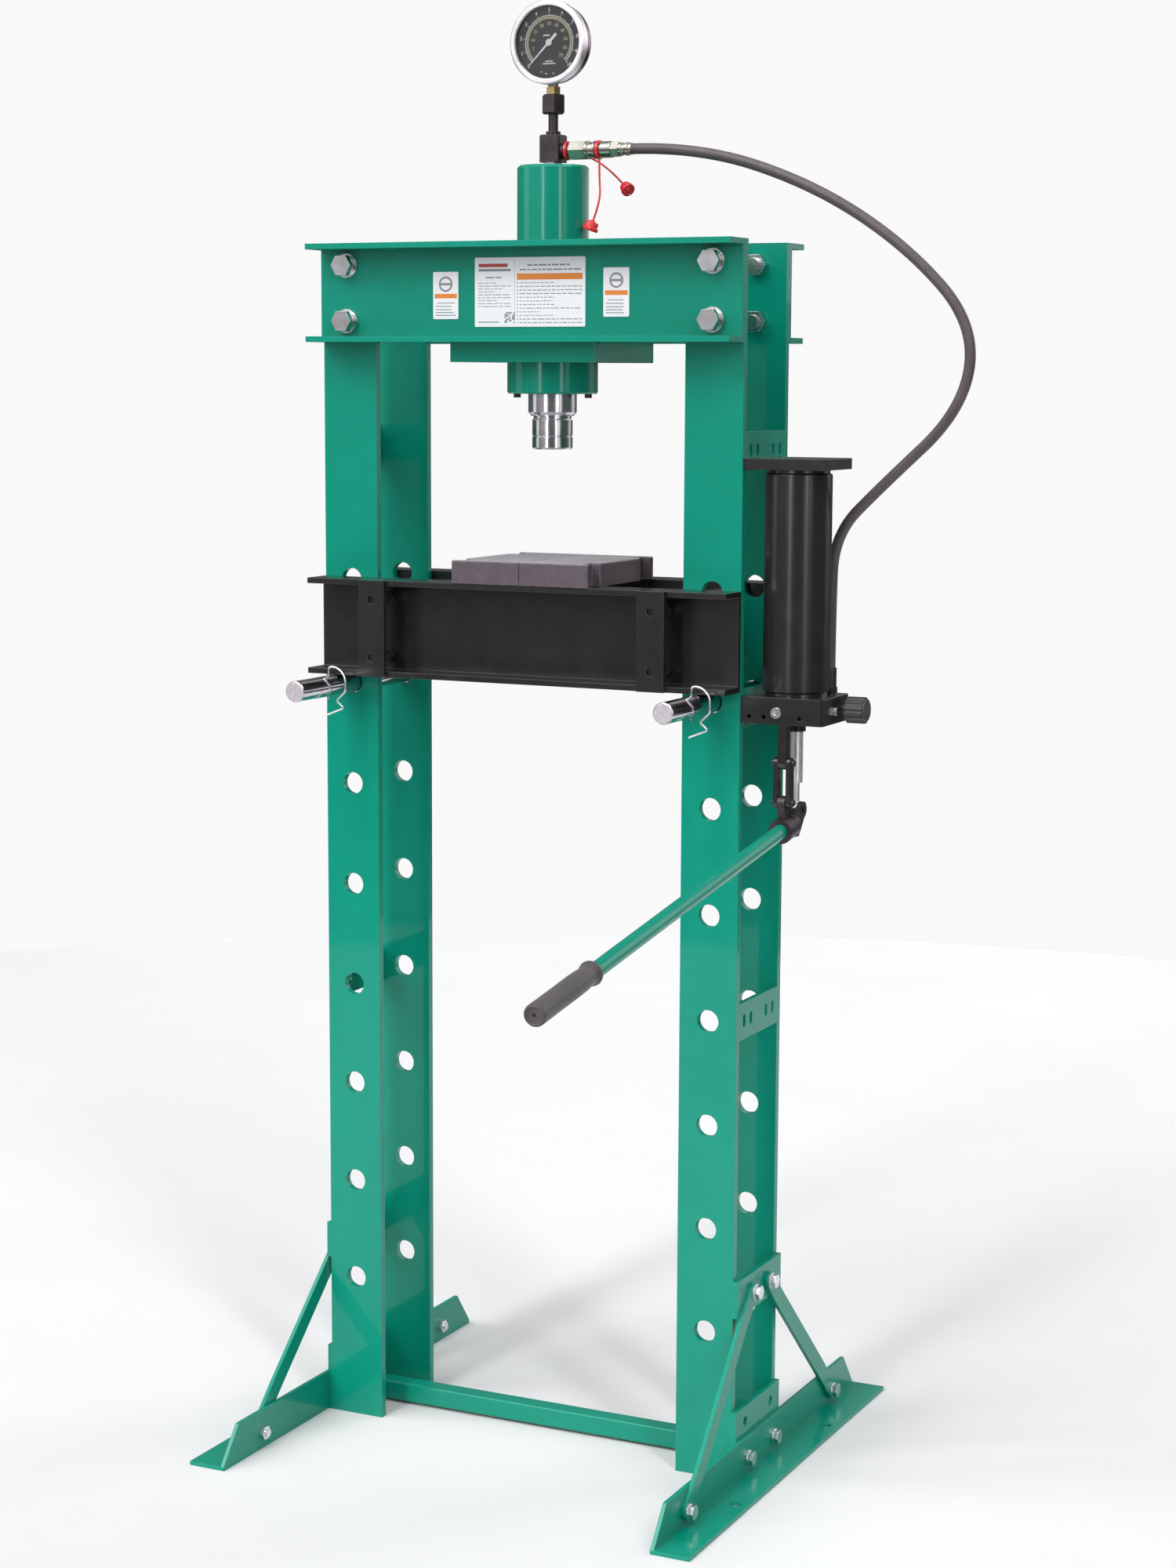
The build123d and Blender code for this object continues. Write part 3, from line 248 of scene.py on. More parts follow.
def rubber(name, base, rough=0.5, scale=700, depth=0.00008, sheen=0.15, coarse=0.0):
    m = Mat(name).set(spec=0.4, sheen=sheen, sheen_rough=0.5)
    a = m.noise(18, 4, 0.6)
    f = m.noise(scale, 3, 0.65)
    m.to("Base Color", m.ramp(a, [(0.3, tuple(c * 0.8 for c in base)), (0.7, tuple(c * 1.25 for c in base))]))
    m.to("Roughness", m.rng(f, rough - 0.08, rough + 0.1, 0.3, 0.7))
    layers = [(f, depth, 0.5)]
    if coarse:
        layers.append((m.noise(90, 3, 0.5), coarse, 0.5))
    m.bump(layers)
    return m.m


def plastic(name, base, rough=0.28, coat=0.3, depth=0.00005, sub=0.0):
    m = Mat(name).set(spec=0.5, coat=coat, coat_rough=0.12, sub=sub)
    a = m.noise(45, 3, 0.6)
    m.to("Base Color", m.ramp(a, [(0.3, tuple(c * 0.86 for c in base)), (0.7, tuple(min(1, c * 1.1) for c in base))]))
    m.to("Roughness", m.rng(m.noise(300, 3, 0.6), rough - 0.05, rough + 0.1, 0.3, 0.7))
    normal, edge = m.edges(0.0005)
    m.bump([(m.noise(520, 2, 0.5), depth, 0.4)], normal)
    return m.m


def ink(name, base, rough=0.45):
    """Print on a label or dial."""
    m = Mat(name).set(spec=0.4)
    m.to("Base Color", m.ramp(m.noise(700, 3, 0.7), [(0.3, tuple(c * 0.84 for c in base)), (0.7, base)]))
    m.to("Roughness", m.rng(m.noise(250, 2, 0.5), rough - 0.06, rough + 0.06))
    m.bump([(m.noise(900, 2, 0.5), 0.00001, 0.4)])
    return m.m


GREEN = paint("green_enamel", (0.0010, 0.212, 0.142), (0.0008, 0.198, 0.131), (0.0016, 0.226, 0.154))
BLACK = paint("black_enamel", (0.0120, 0.0115, 0.0115), (0.0088, 0.0084, 0.0084), (0.0160, 0.0155, 0.0155),
              rough=0.20, coat=0.14, peel=0.00006, edge_wear_and_highlight=(0.09, 0.09, 0.092), edge_wear_and_highlight_amount=0.5, spec=0.62)
PLATE = paint("plate_enamel", (0.088, 0.066, 0.078), (0.066, 0.050, 0.060), (0.112, 0.088, 0.100),
              rough=0.42, coat=0.08, peel=0.00018, edge_wear_and_highlight=(0.34, 0.30, 0.32), edge_wear_and_highlight_amount=0.75, spec=0.3)
ZINC = metal("zinc_plate", (0.74, 0.74, 0.76), 0.20, 0.08, tint=(0.60, 0.57, 0.52), spots=0.18)
PISTON = metal("honed_steel", (0.80, 0.79, 0.80), 0.33, 0.06, bump=0.00002, brushed=(60, 60, 2600), spots=0.15)
NUT_ZINC = metal("zinc_nickel", (0.36, 0.35, 0.32), 0.22, 0.10, tint=(0.50, 0.47, 0.33), spots=0.25)
CHROME = metal("hard_chrome", (0.58, 0.57, 0.60), 0.10, 0.05, bump=0.00001, spots=0.1)
GROUND = metal("ground_steel", (0.69, 0.66, 0.69), 0.17, 0.08, bump=0.00003, brushed=(60, 60, 2600), spots=0.2)
OXIDE = metal("black_oxide", (0.066, 0.056, 0.062), 0.42, 0.18, bump=0.00009, spots=0.3)
BRASS = metal("brass", (0.62, 0.47, 0.20), 0.24, 0.08, spots=0.15)
STEEL_CASE = metal("gauge_steel", (0.27, 0.22, 0.245), 0.24, 0.06, bump=0.00002)
BEZEL = metal("bezel_steel", (0.90, 0.84, 0.88), 0.34, 0.04, bump=0.00001)
DIAL = ink("dial_black", (0.022, 0.018, 0.021), 0.5)
WHITE_INK = ink("ink_white", (0.86, 0.86, 0.86))
SAND_INK = ink("ink_sand", (0.52, 0.47, 0.27))
GREY_INK = ink("ink_grey", (0.24, 0.24, 0.26))
ORANGE_INK = ink("ink_orange", (0.72, 0.22, 0.035))
RUST_INK = ink("ink_rust", (0.42, 0.05, 0.055))
LABEL = ink("label_film", (0.80, 0.79, 0.82), 0.32)
RED = plastic("red_plastic", (0.66, 0.012, 0.022), 0.25, 0.5, sub=0.08)
KNOB = plastic("knob_plastic", (0.030, 0.030, 0.032), 0.42, 0.05, depth=0.0001)
HOSE = rubber("hose_rubber", (0.070, 0.055, 0.060), 0.40, 900, 0.00006, 0.1)
GRIP = rubber("grip_rubber", (0.046, 0.038, 0.041), 0.50, 520, 0.00022, 0.18, coarse=0.00035)


def glass():
    m = Mat("gauge_glass").set(trans=1.0, ior=1.47, rough=0.01, spec=0.5)
    m.to("Base Color", m.ramp(m.noise(40, 2, 0.5), [(0.3, (0.96, 0.98, 0.98)), (0.7, (0.99, 1.0, 1.0))]))
    m.to("Roughness", m.rng(m.noise(55, 3, 0.6), 0.0, 0.03, 0.45, 0.75))
    return m.m


GLASS = glass()


def floor_mat():
    m = Mat("floor_pale").set(spec=0.25)
    m.to("Base Color", m.ramp(m.noise(2.5, 4, 0.6), [(0.3, (0.60, 0.60, 0.60)), (0.7, (0.62, 0.62, 0.62))]))
    m.to("Roughness", m.rng(m.noise(30, 3, 0.6), 0.55, 0.7))
    return m.m


PAINTS = {
    "green_paint": GREEN, "black_paint": BLACK, "plate_paint": PLATE, "zinc": ZINC, "chrome": CHROME,
    "blackened_steel": OXIDE, "brass": BRASS, "dial_face": DIAL, "pointer_white": WHITE_INK,
    "gauge_glass": GLASS, "red_plastic": RED, "hose_rubber": HOSE, "grip_rubber": GRIP, "black_plastic": KNOB,
}
OWN = {"bed_bolts": BLACK, "pump_plunger": PISTON, "coupler_plug": NUT_ZINC, "ram": GROUND, "ram_nose": GROUND, "gauge_case": STEEL_CASE, "gauge_bezel": BEZEL,
       "coupler_socket": NUT_ZINC, "hose_end_top": NUT_ZINC}
for row in frame["record"]["subparts"]:
    o = NODES.get(row["node"])
    if o is None:
        continue
    o.data.materials.clear()
    o.data.materials.append(OWN.get(row["node"], PAINTS[row["material_slot"]]))


def pin_mat():
    """Chromed shank with bare, turned ends."""
    m = Mat("pin_chrome").set(metal=1.0)
    split = m.node("ShaderNodeSeparateXYZ")
    m.nt.links.new(m.co, split.inputs[0])
    end = m.rng(m.math("ABSOLUTE", split.outputs["Y"]), 0.0, 1.0, 0.2090, 0.2094)
    a = m.noise(60, 4, 0.6)
    shank = m.ramp(a, [(0.35, (0.50, 0.49, 0.52)), (0.65, (0.60, 0.59, 0.62))])
    face = m.ramp(m.noise(210, 4, 0.7), [(0.3, (0.48, 0.43, 0.46)), (0.7, (0.66, 0.61, 0.64))])
    m.to("Base Color", m.mix(end, shank, face))
    m.to("Roughness", m.math("ADD", m.rng(a, 0.08, 0.13), m.math("MULTIPLY", end, 0.42)))
    normal, edge = m.edges(0.0006)
    m.bump([(m.noise(500, 3, 0.6), 0.00001, 0.4)], normal)
    return m.m


def plate_mat():
    """Primer-coloured plate whose upper face is painted lighter, as painted light falling on it from above."""
    m = Mat("plate_wear_and_painted_light").set(coat=0.06, coat_rough=0.2, spec=0.3)
    split = m.node("ShaderNodeSeparateXYZ")
    m.nt.links.new(m.co, split.inputs[0])
    top = m.rng(split.outputs["Z"], 0.0, 1.0, 1.1262, 1.1264)
    big = m.noise(9, 4, 0.6)
    mid = m.noise(70, 4, 0.65)
    body = m.ramp(mid, [(0.32, (0.070, 0.055, 0.065)), (0.5, (0.080, 0.063, 0.074)), (0.68, (0.091, 0.072, 0.083))])
    # Painted light: the upper face is painted lighter than the sides, as the light from above falls on it.
    painted_top_light = m.ramp(big, [(0.3, (0.36, 0.33, 0.36)), (0.7, (0.54, 0.50, 0.54))])
    col = m.mix(top, body, painted_top_light)
    normal, edge = m.edges(0.0012)
    # Edges are painted lighter: partly chipped paint, partly a painted highlight along the edges.
    edge_chips_and_highlight = m.math("MULTIPLY", edge, m.rng(m.noise(130, 4, 0.7), 0.0, 0.9, 0.38, 0.60))
    col = m.mix(edge_chips_and_highlight, col, (0.42, 0.38, 0.41))
    nicks = m.rng(m.noise(300, 3, 0.6), 0.0, 0.5, 0.66, 0.74)
    col = m.mix(nicks, col, (0.28, 0.25, 0.27))
    m.to("Base Color", col)
    m.to("Metallic", m.math("MULTIPLY", top, 0.35))
    m.to("Roughness", m.math("ADD", m.rng(mid, 0.38, 0.52), m.math("MULTIPLY", top, -0.06)))
    m.bump([(m.noise(14, 3, 0.5), 0.0012, 0.15), (m.noise(380, 3, 0.6), 0.00012, 0.35)], normal)
    return m.m


PLATE_TOP = plate_mat()
for k in ("arbor_plate_left", "arbor_plate_right"):
    NODES[k].data.materials.clear()
    NODES[k].data.materials.append(PLATE_TOP)
PIN = pin_mat()
for k in ("bed_pin_left", "bed_pin_right"):
    NODES[k].data.materials.clear()
    NODES[k].data.materials.append(PIN)


# ------------------------------------------------------------------ mesh helpers
def put(name, bm, mat, body, smooth=None, mods=()):
    me = bpy.data.meshes.new(name)
    bmesh.ops.recalc_face_normals(bm, faces=bm.faces[:])
    bm.to_mesh(me)
    bm.free()
    o = bpy.data.objects.new(name, me)
    SCENE.collection.objects.link(o)
    for k in (mat if isinstance(mat, (list, tuple)) else [mat]):
        me.materials.append(k)
    if smooth is not None:
        for p in me.polygons:
            p.use_smooth = True
        if smooth < 180:
            me.set_sharp_from_angle(angle=math.radians(smooth))
    for kind, props in mods:
        md = o.modifiers.new(kind.lower(), kind)
        for k, v in props.items():
            setattr(md, k, v)
    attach(o, body)
    return o


def frame_at(origin, axis, up=(0, 0, 1)):
    """Matrix whose Z is axis, at origin."""
    z = Vector(axis).normalized()
    u = Vector(up)
    if abs(z.dot(u.normalized())) > 0.95:
        u = Vector((0, 1, 0))
    x = u.cross(z).normalized()
    y = z.cross(x)
    m = Matrix((x, y, z)).transposed().to_4x4()
    m.translation = Vector(origin)
    return m


def lathe(bm, profile, mat4, seg=64, closed=False, ripple=None, mat_index=0):
    """Revolves (radius, height) points about the local Z axis."""
    rings = []
    for j, (r, z) in enumerate(profile):
        if r < 1e-7:
            rings.append([bm.verts.new(mat4 @ Vector((0, 0, z)))])
            continue
        ring = []
        for i in range(seg):
            a = 2 * math.pi * i / seg
            rr = r + (ripple(a, z, j) if ripple else 0.0)
            ring.append(bm.verts.new(mat4 @ Vector((rr * math.cos(a), rr * math.sin(a), z))))
        rings.append(ring)
    pairs = list(zip(rings, rings[1:]))
    if closed:
        pairs.append((rings[-1], rings[0]))
    for a, b in pairs:
        n = max(len(a), len(b))
        for i in range(n):
            k = (i + 1) % n
            vs = []
            for v in ((a[i % len(a)]), (a[k % len(a)]), (b[k % len(b)]), (b[i % len(b)])):
                if v not in vs:
                    vs.append(v)
            if len(vs) > 2:
                f = bm.faces.new(vs)
                f.material_index = mat_index
    return rings


def slab(bm, pts, mat4, depth, mat_index=0, bevel=0.0):
    """A flat polygon in local XY, raised along local Z."""
    low = [bm.verts.new(mat4 @ Vector((x, y, 0))) for x, y in pts]
    high = [bm.verts.new(mat4 @ Vector((x, y, depth))) for x, y in pts]
    n = len(pts)
    faces = [bm.faces.new(low[::-1]), bm.faces.new(high)]
    for i in range(n):
        faces.append(bm.faces.new((low[i], low[(i + 1) % n], high[(i + 1) % n], high[i])))
    for f in faces:
        f.material_index = mat_index


def rounded(x0, y0, x1, y1, r, seg=5):
    pts = []
    for cx, cy, a0 in ((x1 - r, y1 - r, 0), (x0 + r, y1 - r, 90), (x0 + r, y0 + r, 180), (x1 - r, y0 + r, 270)):
        for i in range(seg + 1):
            a = math.radians(a0 + 90 * i / seg)
            pts.append((cx + r * math.cos(a), cy + r * math.sin(a)))
    return pts


def curve_line(name, points, radius, mat, res=24):
    cu = bpy.data.curves.new(name, "CURVE")
    cu.dimensions = "3D"
    sp = cu.splines.new("NURBS")
    sp.points.add(len(points) - 1)
    for p, q in zip(sp.points, points):
        p.co = (*q, 1)
    sp.order_u = 3
    sp.use_endpoint_u = True
    sp.resolution_u = res
    cu.resolution_u = res
    cu.bevel_depth = radius
    cu.bevel_resolution = 6
    cu.use_fill_caps = True
    o = bpy.data.objects.new(name, cu)
    SCENE.collection.objects.link(o)
    cu.materials.append(mat)
    return o


def nurbs_path(obj):
    """Points along a curve's own line, read from its spline."""
    cu = obj.data.copy()
    cu.bevel_depth = 0
    tmp = bpy.data.objects.new("tmp_path", cu)
    SCENE.collection.objects.link(tmp)
    bpy.context.view_layer.update()
    me = bpy.data.meshes.new_from_object(tmp)
    pts = [v.co.copy() for v in me.vertices]
    bpy.data.objects.remove(tmp)
    bpy.data.meshes.remove(me)
    return pts


# ------------------------------------------------------------------ hose and straps
HOSE_ROUTE = [(0.107, 0, 1.6215), (0.195, 0, 1.6215), (0.338, 0.004, 1.575), (0.455, 0.008, 1.502),
              (0.540, 0.012, 1.411), (0.526, 0.016, 1.313), (0.425, 0.021, 1.222), (0.364, 0.027, 1.163),
              (0.358, 0.036, 1.072), (0.358, 0.036, 1.002)]
NEAR_ROUTE = [(0.020, 0.0115, 1.6215), (0.020, 0.038, 1.6215), (0.054, 0.045, 1.6035), (0.084, 0.025, 1.5805)]
FAR_ROUTE = [(0.0625, 0, 1.610), (0.0625, 0, 1.5885), (0.067, -0.005, 1.5615), (0.058, -0.007, 1.5375)]


def add_cord(name, route, radius, mat, node):
    o = curve_line(name, route, radius, mat)
    pts = nurbs_path(o)
    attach(o, "frame")
    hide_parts(node)
    return o, pts


def dust_cap(name, at, axis, radius, node, knurl):
    """A moulded dust plug: a boss where the strap enters, a ribbed barrel, and a broad stepped face at the far end."""
    bm = bmesh.new()
    ax = Vector(axis).normalized()
    m = frame_at(Vector(at) - ax * 0.0065, ax)
    r = radius
    prof = [(0, 0.0), (r * 0.20, 0.0), (r * 0.30, 0.0004), (r * 0.34, 0.0014), (r * 0.40, 0.0020), (r * 0.70, 0.0022),
            (r * 0.79, 0.0026), (r * 0.82, 0.0034), (r * 0.82, 0.0080), (r * 0.86, 0.0086), (r * 0.96, 0.0089),
            (r * 0.995, 0.0095), (r, 0.0103), (r, 0.0118), (r * 0.98, 0.0126), (r * 0.93, 0.0130), (r * 0.80, 0.0130),
            (r * 0.76, 0.0126), (r * 0.70, 0.0121), (r * 0.46, 0.0121), (r * 0.42, 0.0126), (r * 0.36, 0.0129),
            (r * 0.14, 0.0129), (r * 0.10, 0.0124), (0, 0.0124)]

    def ribs(a, z, j):
        if 6 <= j <= 8:
            return -0.00045 * (0.5 + 0.5 * math.cos(22 * a))
        if knurl and 11 <= j <= 14:
            return -0.0005 * (0.5 + 0.5 * math.cos(16 * a))
        return 0.0

    lathe(bm, prof, m, 128, ripple=ribs)
    o = put(name, bm, RED, "frame", 40)
    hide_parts(node)
    return o


def cap_box(node):
    lo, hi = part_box(node)
    return (lo + hi) / 2


near_cap = dust_cap("cap_near", cap_box("dust_cap_near"),
                    Vector(NEAR_ROUTE[3]) - Vector(NEAR_ROUTE[2]), 0.0085, "dust_cap_near", False)
far_cap = dust_cap("cap_far", cap_box("dust_cap_far"),
                   Vector(FAR_ROUTE[3]) - Vector(FAR_ROUTE[2]), 0.0100, "dust_cap_far", True)
add_cord("strap_near", NEAR_ROUTE, 0.00125, RED, "cap_strap_near")
add_cord("strap_far", FAR_ROUTE, 0.00125, RED, "cap_strap_far")
add_cord("hose_line", HOSE_ROUTE, 0.0065, HOSE, "hose")


# ------------------------------------------------------------------ grip
def grip():
    """Moulded rubber grip: a flared ring at its front, a waisted neck, a full barrel and a rimmed end face."""
    lo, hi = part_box("handle_grip")
    slope = math.radians(8.5)
    axis = Vector((0, -math.cos(slope), -math.sin(slope)))
    mid = (lo + hi) / 2
    half = 0.0675
    m = frame_at(mid - axis * half, axis)
    L = 2 * half
    prof = [(0.0091, 0.0006), (0.0112, 0.0), (0.0128, 0.0004), (0.0137, 0.0014), (0.01395, 0.0029), (0.0137, 0.0046),
            (0.0131, 0.0060), (0.0122, 0.0076), (0.0115, 0.0100), (0.0112, 0.0130), (0.0113, 0.0165), (0.0117, 0.0210),
            (0.0121, 0.0270), (0.01235, 0.0350), (0.01240, 0.0480), (0.01235, 0.0640), (0.01225, 0.0800), (0.01225, 0.0960),
            (0.01235, 0.1120), (0.01245, 0.1240), (0.01245, L - 0.0055), (0.0123, L - 0.0030), (0.0118, L - 0.0012),
            (0.0110, L - 0.0003), (0.0101, L), (0.0093, L - 0.0004), (0.0088, L - 0.0012), (0.0082, L - 0.0016),
            (0.0026, L - 0.0016), (0.0021, L - 0.0020), (0.0019, L - 0.0040), (0, L - 0.0042)]

    def flutes(a, z, j):
        return -0.00028 * (0.5 + 0.5 * math.cos(24 * a)) if 13 <= j <= 19 else 0.0

    bm = bmesh.new()
    lathe(bm, prof, m, 144, ripple=flutes)
    o = put("grip_sleeve", bm, GRIP, "handle", 60)
    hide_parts("handle_grip")
    return o


grip()


# ------------------------------------------------------------------ gauge
GZ = 1.750
FACE = -0.0115


def gauge_print():
    bm = bmesh.new()
    plane = frame_at((0, FACE, GZ), (0, -1, 0))
    # local +X of this frame runs along world +X or -X: find it, so that 0 stands at the lower left
    sx = 1 if (plane.to_3x3() @ Vector((1, 0, 0))).x > 0 else -1
    sy = 1 if (plane.to_3x3() @ Vector((0, 1, 0))).z > 0 else -1

    def pol(r, deg):
        a = math.radians(deg)
        return (sx * r * math.sin(a), sy * r * math.cos(a))

    def tick(r0, r1, deg, w, mi):
        a = math.radians(deg)
        d = Vector((sx * math.sin(a), sy * math.cos(a)))
        t = Vector((-d.y, d.x)) * w / 2
        p = [d * r0 - t, d * r1 - t, d * r1 + t, d * r0 + t]
        slab(bm, [tuple(q) for q in p], plane, 0.00012, mi)

    def arc(r, w, a0, a1, mi, n=120):
        inner = [pol(r - w / 2, a0 + (a1 - a0) * i / n) for i in range(n + 1)]
        outer = [pol(r + w / 2, a0 + (a1 - a0) * i / n) for i in range(n + 1)]
        for i in range(n):
            slab(bm, [inner[i], outer[i], outer[i + 1], inner[i + 1]], plane, 0.00012, mi)

    arc(0.0318, 0.0009, -135, 135, 0)
    arc(0.0293, 0.0022, -135, 135, 1)
    for i in range(101):
        a = -135 + 2.7 * i
        big, half = i % 10 == 0, i % 5 == 0
        tick(0.0318, 0.0352 if big else (0.0340 if half else 0.0330), a, 0.00055 if big else 0.0003, 0)
    for i in range(51):
        a = -135 + 5.4 * i
        tick(0.0262 if i % 5 == 0 else 0.0272, 0.0300, a, 0.00045 if i % 5 == 0 else 0.0003, 1)
    # short rule marks at the foot of the dial
    for x, z, w in ((0, -0.0222, 0.010), (0, -0.0250, 0.017), (-0.0105, -0.0345, 0.0022), (-0.004, -0.0368, 0.0030),
                    (0.006, -0.0368, 0.0026)):
        slab(bm, rounded(sx * x - w / 2, sy * z - 0.0006, sx * x + w / 2, sy * z + 0.0006, 0.0003, 2), plane, 0.00012, 0)
    for x, z, w in ((-0.0035, 0.0085, 0.009),):
        slab(bm, rounded(sx * x - w / 2, sy * z - 0.0008, sx * x + w / 2, sy * z + 0.0008, 0.0004, 2), plane, 0.00012, 0)
    put("dial_scale", bm, [WHITE_INK, SAND_INK], "frame")


gauge_print()


def numerals(name, values, radius, size, mat):
    """Dial numerals, as thin solids, standing upright round the scale."""
    parts = []
    for i, v in enumerate(values):
        a = math.radians(-135 + 270 * i / (len(values) - 1))
        cu = bpy.data.curves.new("num", "FONT")
        cu.body = str(v)
        cu.size = size
        cu.align_x, cu.align_y = "CENTER", "CENTER"
        cu.extrude = 0.00006
        cu.offset = size * 0.014
        o = bpy.data.objects.new("num", cu)
        SCENE.collection.objects.link(o)
        o.matrix_world = Matrix.Translation((radius * math.sin(a), FACE - 0.00007, GZ + radius * math.cos(a))) \
            @ Matrix.Rotation(math.radians(90), 4, "X")
        parts.append(o)
    bpy.context.view_layer.update()
    bm = bmesh.new()
    for o in parts:
        me = bpy.data.meshes.new_from_object(o)
        me.transform(o.matrix_world)
        bm.from_mesh(me)
        bpy.data.meshes.remove(me)
        bpy.data.objects.remove(o)
    return put(name, bm, mat, "frame")


numerals("dial_numbers_outer", range(0, 11), 0.0386, 0.0064, WHITE_INK)
numerals("dial_numbers_inner", range(0, 75, 7), 0.0224, 0.0056, SAND_INK)


# ------------------------------------------------------------------ labels on the front beam
def label(name, x0, z0, x1, z1, y=-0.0765, kind="small"):
    bm = bmesh.new()
    m = Matrix(((1, 0, 0, 0), (0, 0, -1, y), (0, 1, 0, 0), (0, 0, 0, 1)))
    w, h = x1 - x0, z1 - z0
    slab(bm, rounded(x0, z0, x1, z1, 0.0018), m, 0.00030, 0)

    def bar(u0, v0, u1, v1, mi, d=0.00036):
        slab(bm, [(x0 + u0 * w, z0 + v0 * h), (x0 + u1 * w, z0 + v0 * h), (x0 + u1 * w, z0 + v1 * h), (x0 + u0 * w, z0 + v1 * h)],
             m, d, mi)

    def words(u0, u1, v, n, mi, hh=0.012):
        """A line of print, shown as short rules of uneven length."""
        u = u0
        while u < u1 - 0.01:
            ln = random.uniform(0.25, 1.0) * (u1 - u0) / n
            e = min(u + ln, u1)
            bar(u, v - hh / 2, e, v + hh / 2, mi)
            u = e + 0.010
    if kind == "large":
        bar(0.035, 0.86, 0.30, 0.91, 1)
        bar(0.035, 0.80, 0.33, 0.835, 2)
        bar(0.385, 0.675, 0.975, 0.765, 3)
        words(0.48, 0.86, 0.885, 4, 2, 0.024)
        words(0.41, 0.96, 0.82, 6, 2, 0.020)
        words(0.10, 0.26, 0.71, 2, 2, 0.020)
        v = 0.63
        for i in range(12):
            e = random.choice((0.97, 0.97, 0.97, 0.72, 0.60))
            words(0.41, e, v, 9, 2, 0.013)
            bar(0.385, v - 0.008, 0.397, v + 0.008, 2)
            v -= 0.052
        v = 0.63
        for i in range(9):
            words(0.03, random.choice((0.20, 0.25, 0.33, 0.33)), v, 4, 2, 0.011)
            v -= 0.042
        bar(0.03, 0.06, 0.22, 0.075, 2)
        for i in range(7):
            for j in range(7):
                if random.random() < 0.62:
                    bar(0.272 + i * 0.0135, 0.055 + j * 0.0225, 0.2845 + i * 0.0135, 0.076 + j * 0.0225, 2)
        bar(0.3640, 0.03, 0.3665, 0.97, 2, 0.00034)
    else:
        bar(0.06, 0.44, 0.94, 0.535, 3)
        # a plain ring over a bar
        cx, cz = x0 + w * 0.5, z0 + h * 0.74
        for i in range(32):
            a0, a1 = 2 * math.pi * i / 32, 2 * math.pi * (i + 1) / 32
            r0, r1 = w * 0.20, w * 0.27
            slab(bm, [(cx + r0 * math.cos(a0), cz + r0 * math.sin(a0)), (cx + r1 * math.cos(a0), cz + r1 * math.sin(a0)),
                      (cx + r1 * math.cos(a1), cz + r1 * math.sin(a1)), (cx + r0 * math.cos(a1), cz + r0 * math.sin(a1))],
                 m, 0.00036, 2)
        bar(0.30, 0.715, 0.70, 0.765, 2, 0.00040)
        for i, v in enumerate((0.34, 0.27, 0.20, 0.14, 0.08)):
            words(0.10 + 0.08 * (i == 0), random.uniform(0.72, 0.92), v, 3, 2, 0.020)
    return put(name, bm, [LABEL, RUST_INK, GREY_INK, ORANGE_INK], "frame")


label("label_large", -0.0677, 1.4085, 0.0817, 1.4915, kind="large")
label("label_left", -0.1255, 1.4180, -0.0905, 1.4750)
label("label_right", 0.1054, 1.4200, 0.1395, 1.4780)


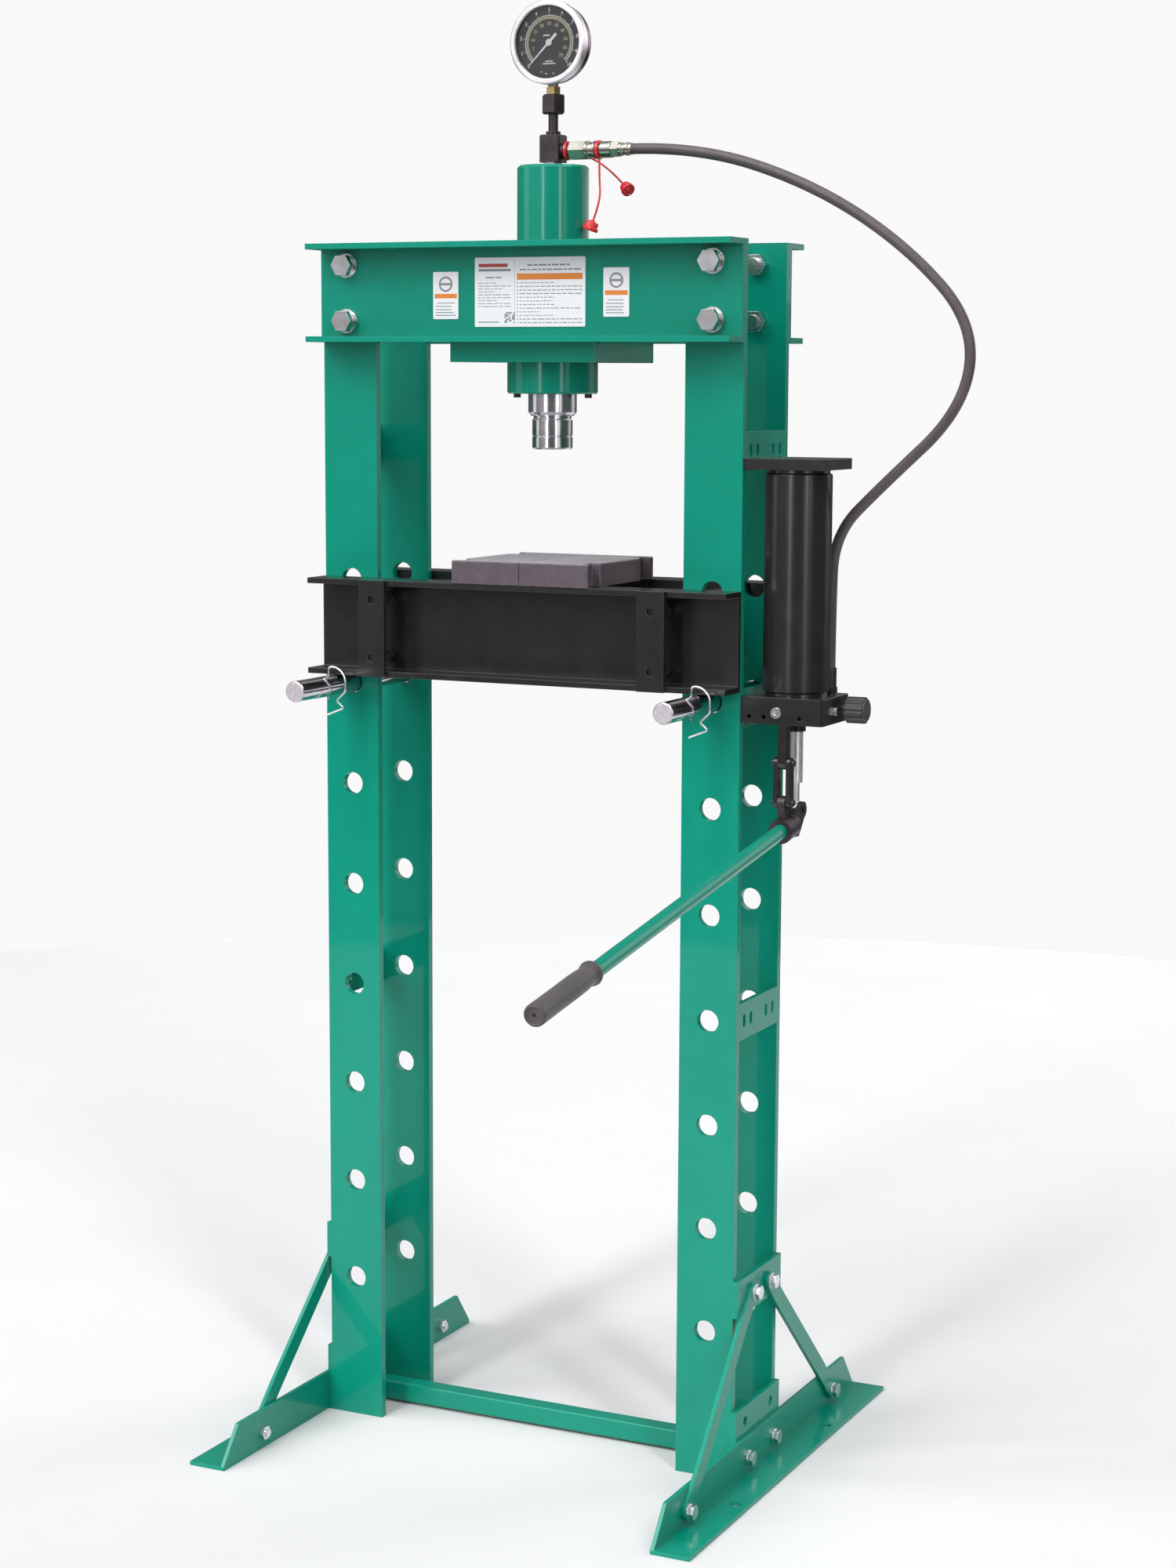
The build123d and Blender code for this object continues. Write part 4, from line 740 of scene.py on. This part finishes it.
# ------------------------------------------------------------------ stage
def stage():
    me = bpy.data.meshes.new("floor")
    bm = bmesh.new()
    s = 3.4
    vs = [bm.verts.new((s * math.cos(math.tau * i / 128), s * math.sin(math.tau * i / 128), 0)) for i in range(128)]
    bm.faces.new(vs)
    bm.to_mesh(me)
    bm.free()
    o = bpy.data.objects.new("floor", me)
    me.materials.append(floor_mat())
    SCENE.collection.objects.link(o)

    w = bpy.data.worlds.new("studio")
    SCENE.world = w
    w.use_nodes = True
    nt = w.node_tree
    nt.nodes.clear()
    out = nt.nodes.new("ShaderNodeOutputWorld")
    co = nt.nodes.new("ShaderNodeTexCoord")
    sep = nt.nodes.new("ShaderNodeSeparateXYZ")
    nt.links.new(co.outputs["Generated"], sep.inputs[0])
    # soft room: bright ceiling, pale walls with darker corners
    up = nt.nodes.new("ShaderNodeValToRGB")
    e = up.color_ramp.elements
    e[0].position, e[0].color = 0.0, (0.10, 0.10, 0.105, 1)
    e[1].position, e[1].color = 1.0, (0.95, 0.96, 0.98, 1)
    for pos, c in ((0.42, 0.16), (0.52, 0.34), (0.72, 0.62)):
        k = up.color_ramp.elements.new(pos)
        k.color = (c, c, c * 1.02, 1)
    rng = nt.nodes.new("ShaderNodeMapRange")
    rng.inputs["From Min"].default_value = -1
    nt.links.new(sep.outputs["Z"], rng.inputs["Value"])
    nt.links.new(rng.outputs[0], up.inputs[0])
    # three tall softboxes standing round the room
    tall = None
    for ax, ay, width, gain in ((-0.93, -0.37, 0.980, 4.4), (-0.105, -0.994, 0.9962, 21.0), (0.755, -0.656, 0.9966, 17.0),
                                (0.60, 0.80, 0.975, 3.0), (-0.48, -0.877, 0.93, 1.2)):
        dot = nt.nodes.new("ShaderNodeVectorMath")
        dot.operation = "DOT_PRODUCT"
        flat = nt.nodes.new("ShaderNodeVectorMath")
        flat.operation = "MULTIPLY"
        flat.inputs[1].default_value = (1, 1, 0)
        nt.links.new(co.outputs["Generated"], flat.inputs[0])
        unit = nt.nodes.new("ShaderNodeVectorMath")
        unit.operation = "NORMALIZE"
        nt.links.new(flat.outputs[0], unit.inputs[0])
        nt.links.new(unit.outputs[0], dot.inputs[0])
        dot.inputs[1].default_value = (ax, ay, 0)
        m = nt.nodes.new("ShaderNodeMapRange")
        m.interpolation_type = "SMOOTHSTEP"
        m.inputs["From Min"].default_value = width
        m.inputs["From Max"].default_value = width + (1 - width) * 0.4
        m.inputs["To Max"].default_value = gain
        nt.links.new(dot.outputs["Value"], m.inputs["Value"])
        if tall is None:
            tall = m.outputs[0]
        else:
            add = nt.nodes.new("ShaderNodeMath")
            add.operation = "ADD"
            nt.links.new(tall, add.inputs[0])
            nt.links.new(m.outputs[0], add.inputs[1])
            tall = add.outputs[0]
    high = nt.nodes.new("ShaderNodeMapRange")
    high.interpolation_type = "SMOOTHSTEP"
    high.inputs["From Min"].default_value = -0.12
    high.inputs["From Max"].default_value = 0.05
    nt.links.new(sep.outputs["Z"], high.inputs["Value"])
    mul = nt.nodes.new("ShaderNodeMath")
    mul.operation = "MULTIPLY"
    nt.links.new(tall, mul.inputs[0])
    nt.links.new(high.outputs[0], mul.inputs[1])
    one = nt.nodes.new("ShaderNodeMath")
    one.operation = "ADD"
    one.inputs[1].default_value = 0.33
    nt.links.new(mul.outputs[0], one.inputs[0])
    soft = nt.nodes.new("ShaderNodeBackground")
    nt.links.new(up.outputs["Color"], soft.inputs["Color"])
    nt.links.new(one.outputs[0], soft.inputs["Strength"])
    pale = nt.nodes.new("ShaderNodeBackground")
    pale.inputs["Color"].default_value = (0.95, 0.95, 0.95, 1)
    pale.inputs["Strength"].default_value = 1.0
    lp = nt.nodes.new("ShaderNodeLightPath")
    mx = nt.nodes.new("ShaderNodeMixShader")
    nt.links.new(lp.outputs["Is Camera Ray"], mx.inputs[0])
    nt.links.new(soft.outputs[0], mx.inputs[1])
    nt.links.new(pale.outputs[0], mx.inputs[2])
    nt.links.new(mx.outputs[0], out.inputs[0])

    def area(name, at, to, size, power, color=(1, 1, 1)):
        d = bpy.data.lights.new(name, "AREA")
        d.shape = "RECTANGLE"
        d.size, d.size_y = size
        d.energy = power
        d.color = color
        o = bpy.data.objects.new(name, d)
        SCENE.collection.objects.link(o)
        o.location = at
        o.rotation_mode = "QUATERNION"
        o.rotation_quaternion = (Vector(to) - Vector(at)).to_track_quat("-Z", "Y")
        return o

    sun = bpy.data.lights.new("sun", "SUN")
    sun.energy = 0.72
    sun.angle = math.radians(22)
    so = bpy.data.objects.new("sun", sun)
    SCENE.collection.objects.link(so)
    so.rotation_mode = "QUATERNION"
    so.rotation_quaternion = Vector((0.42, 0.62, -0.66)).to_track_quat("-Z", "Y")
    area("key", (-3.8, -2.4, 3.2), (0, 0, 0.9), (0.9, 2.6), 26, (1.0, 0.99, 0.97))
    area("fill", (4.2, -2.0, 2.2), (0.1, 0, 0.8), (0.8, 2.6), 9)
    area("top", (0, 0.4, 4.6), (0, 0, 1), (3.2, 3.2), 14)
    area("back", (0.4, 4.4, 2.4), (0, 0, 0.8), (3.4, 1.8), 20)

    SCENE.view_settings.view_transform = "Standard"
    SCENE.view_settings.look = "None"
    SCENE.view_settings.exposure = 0.0


stage()
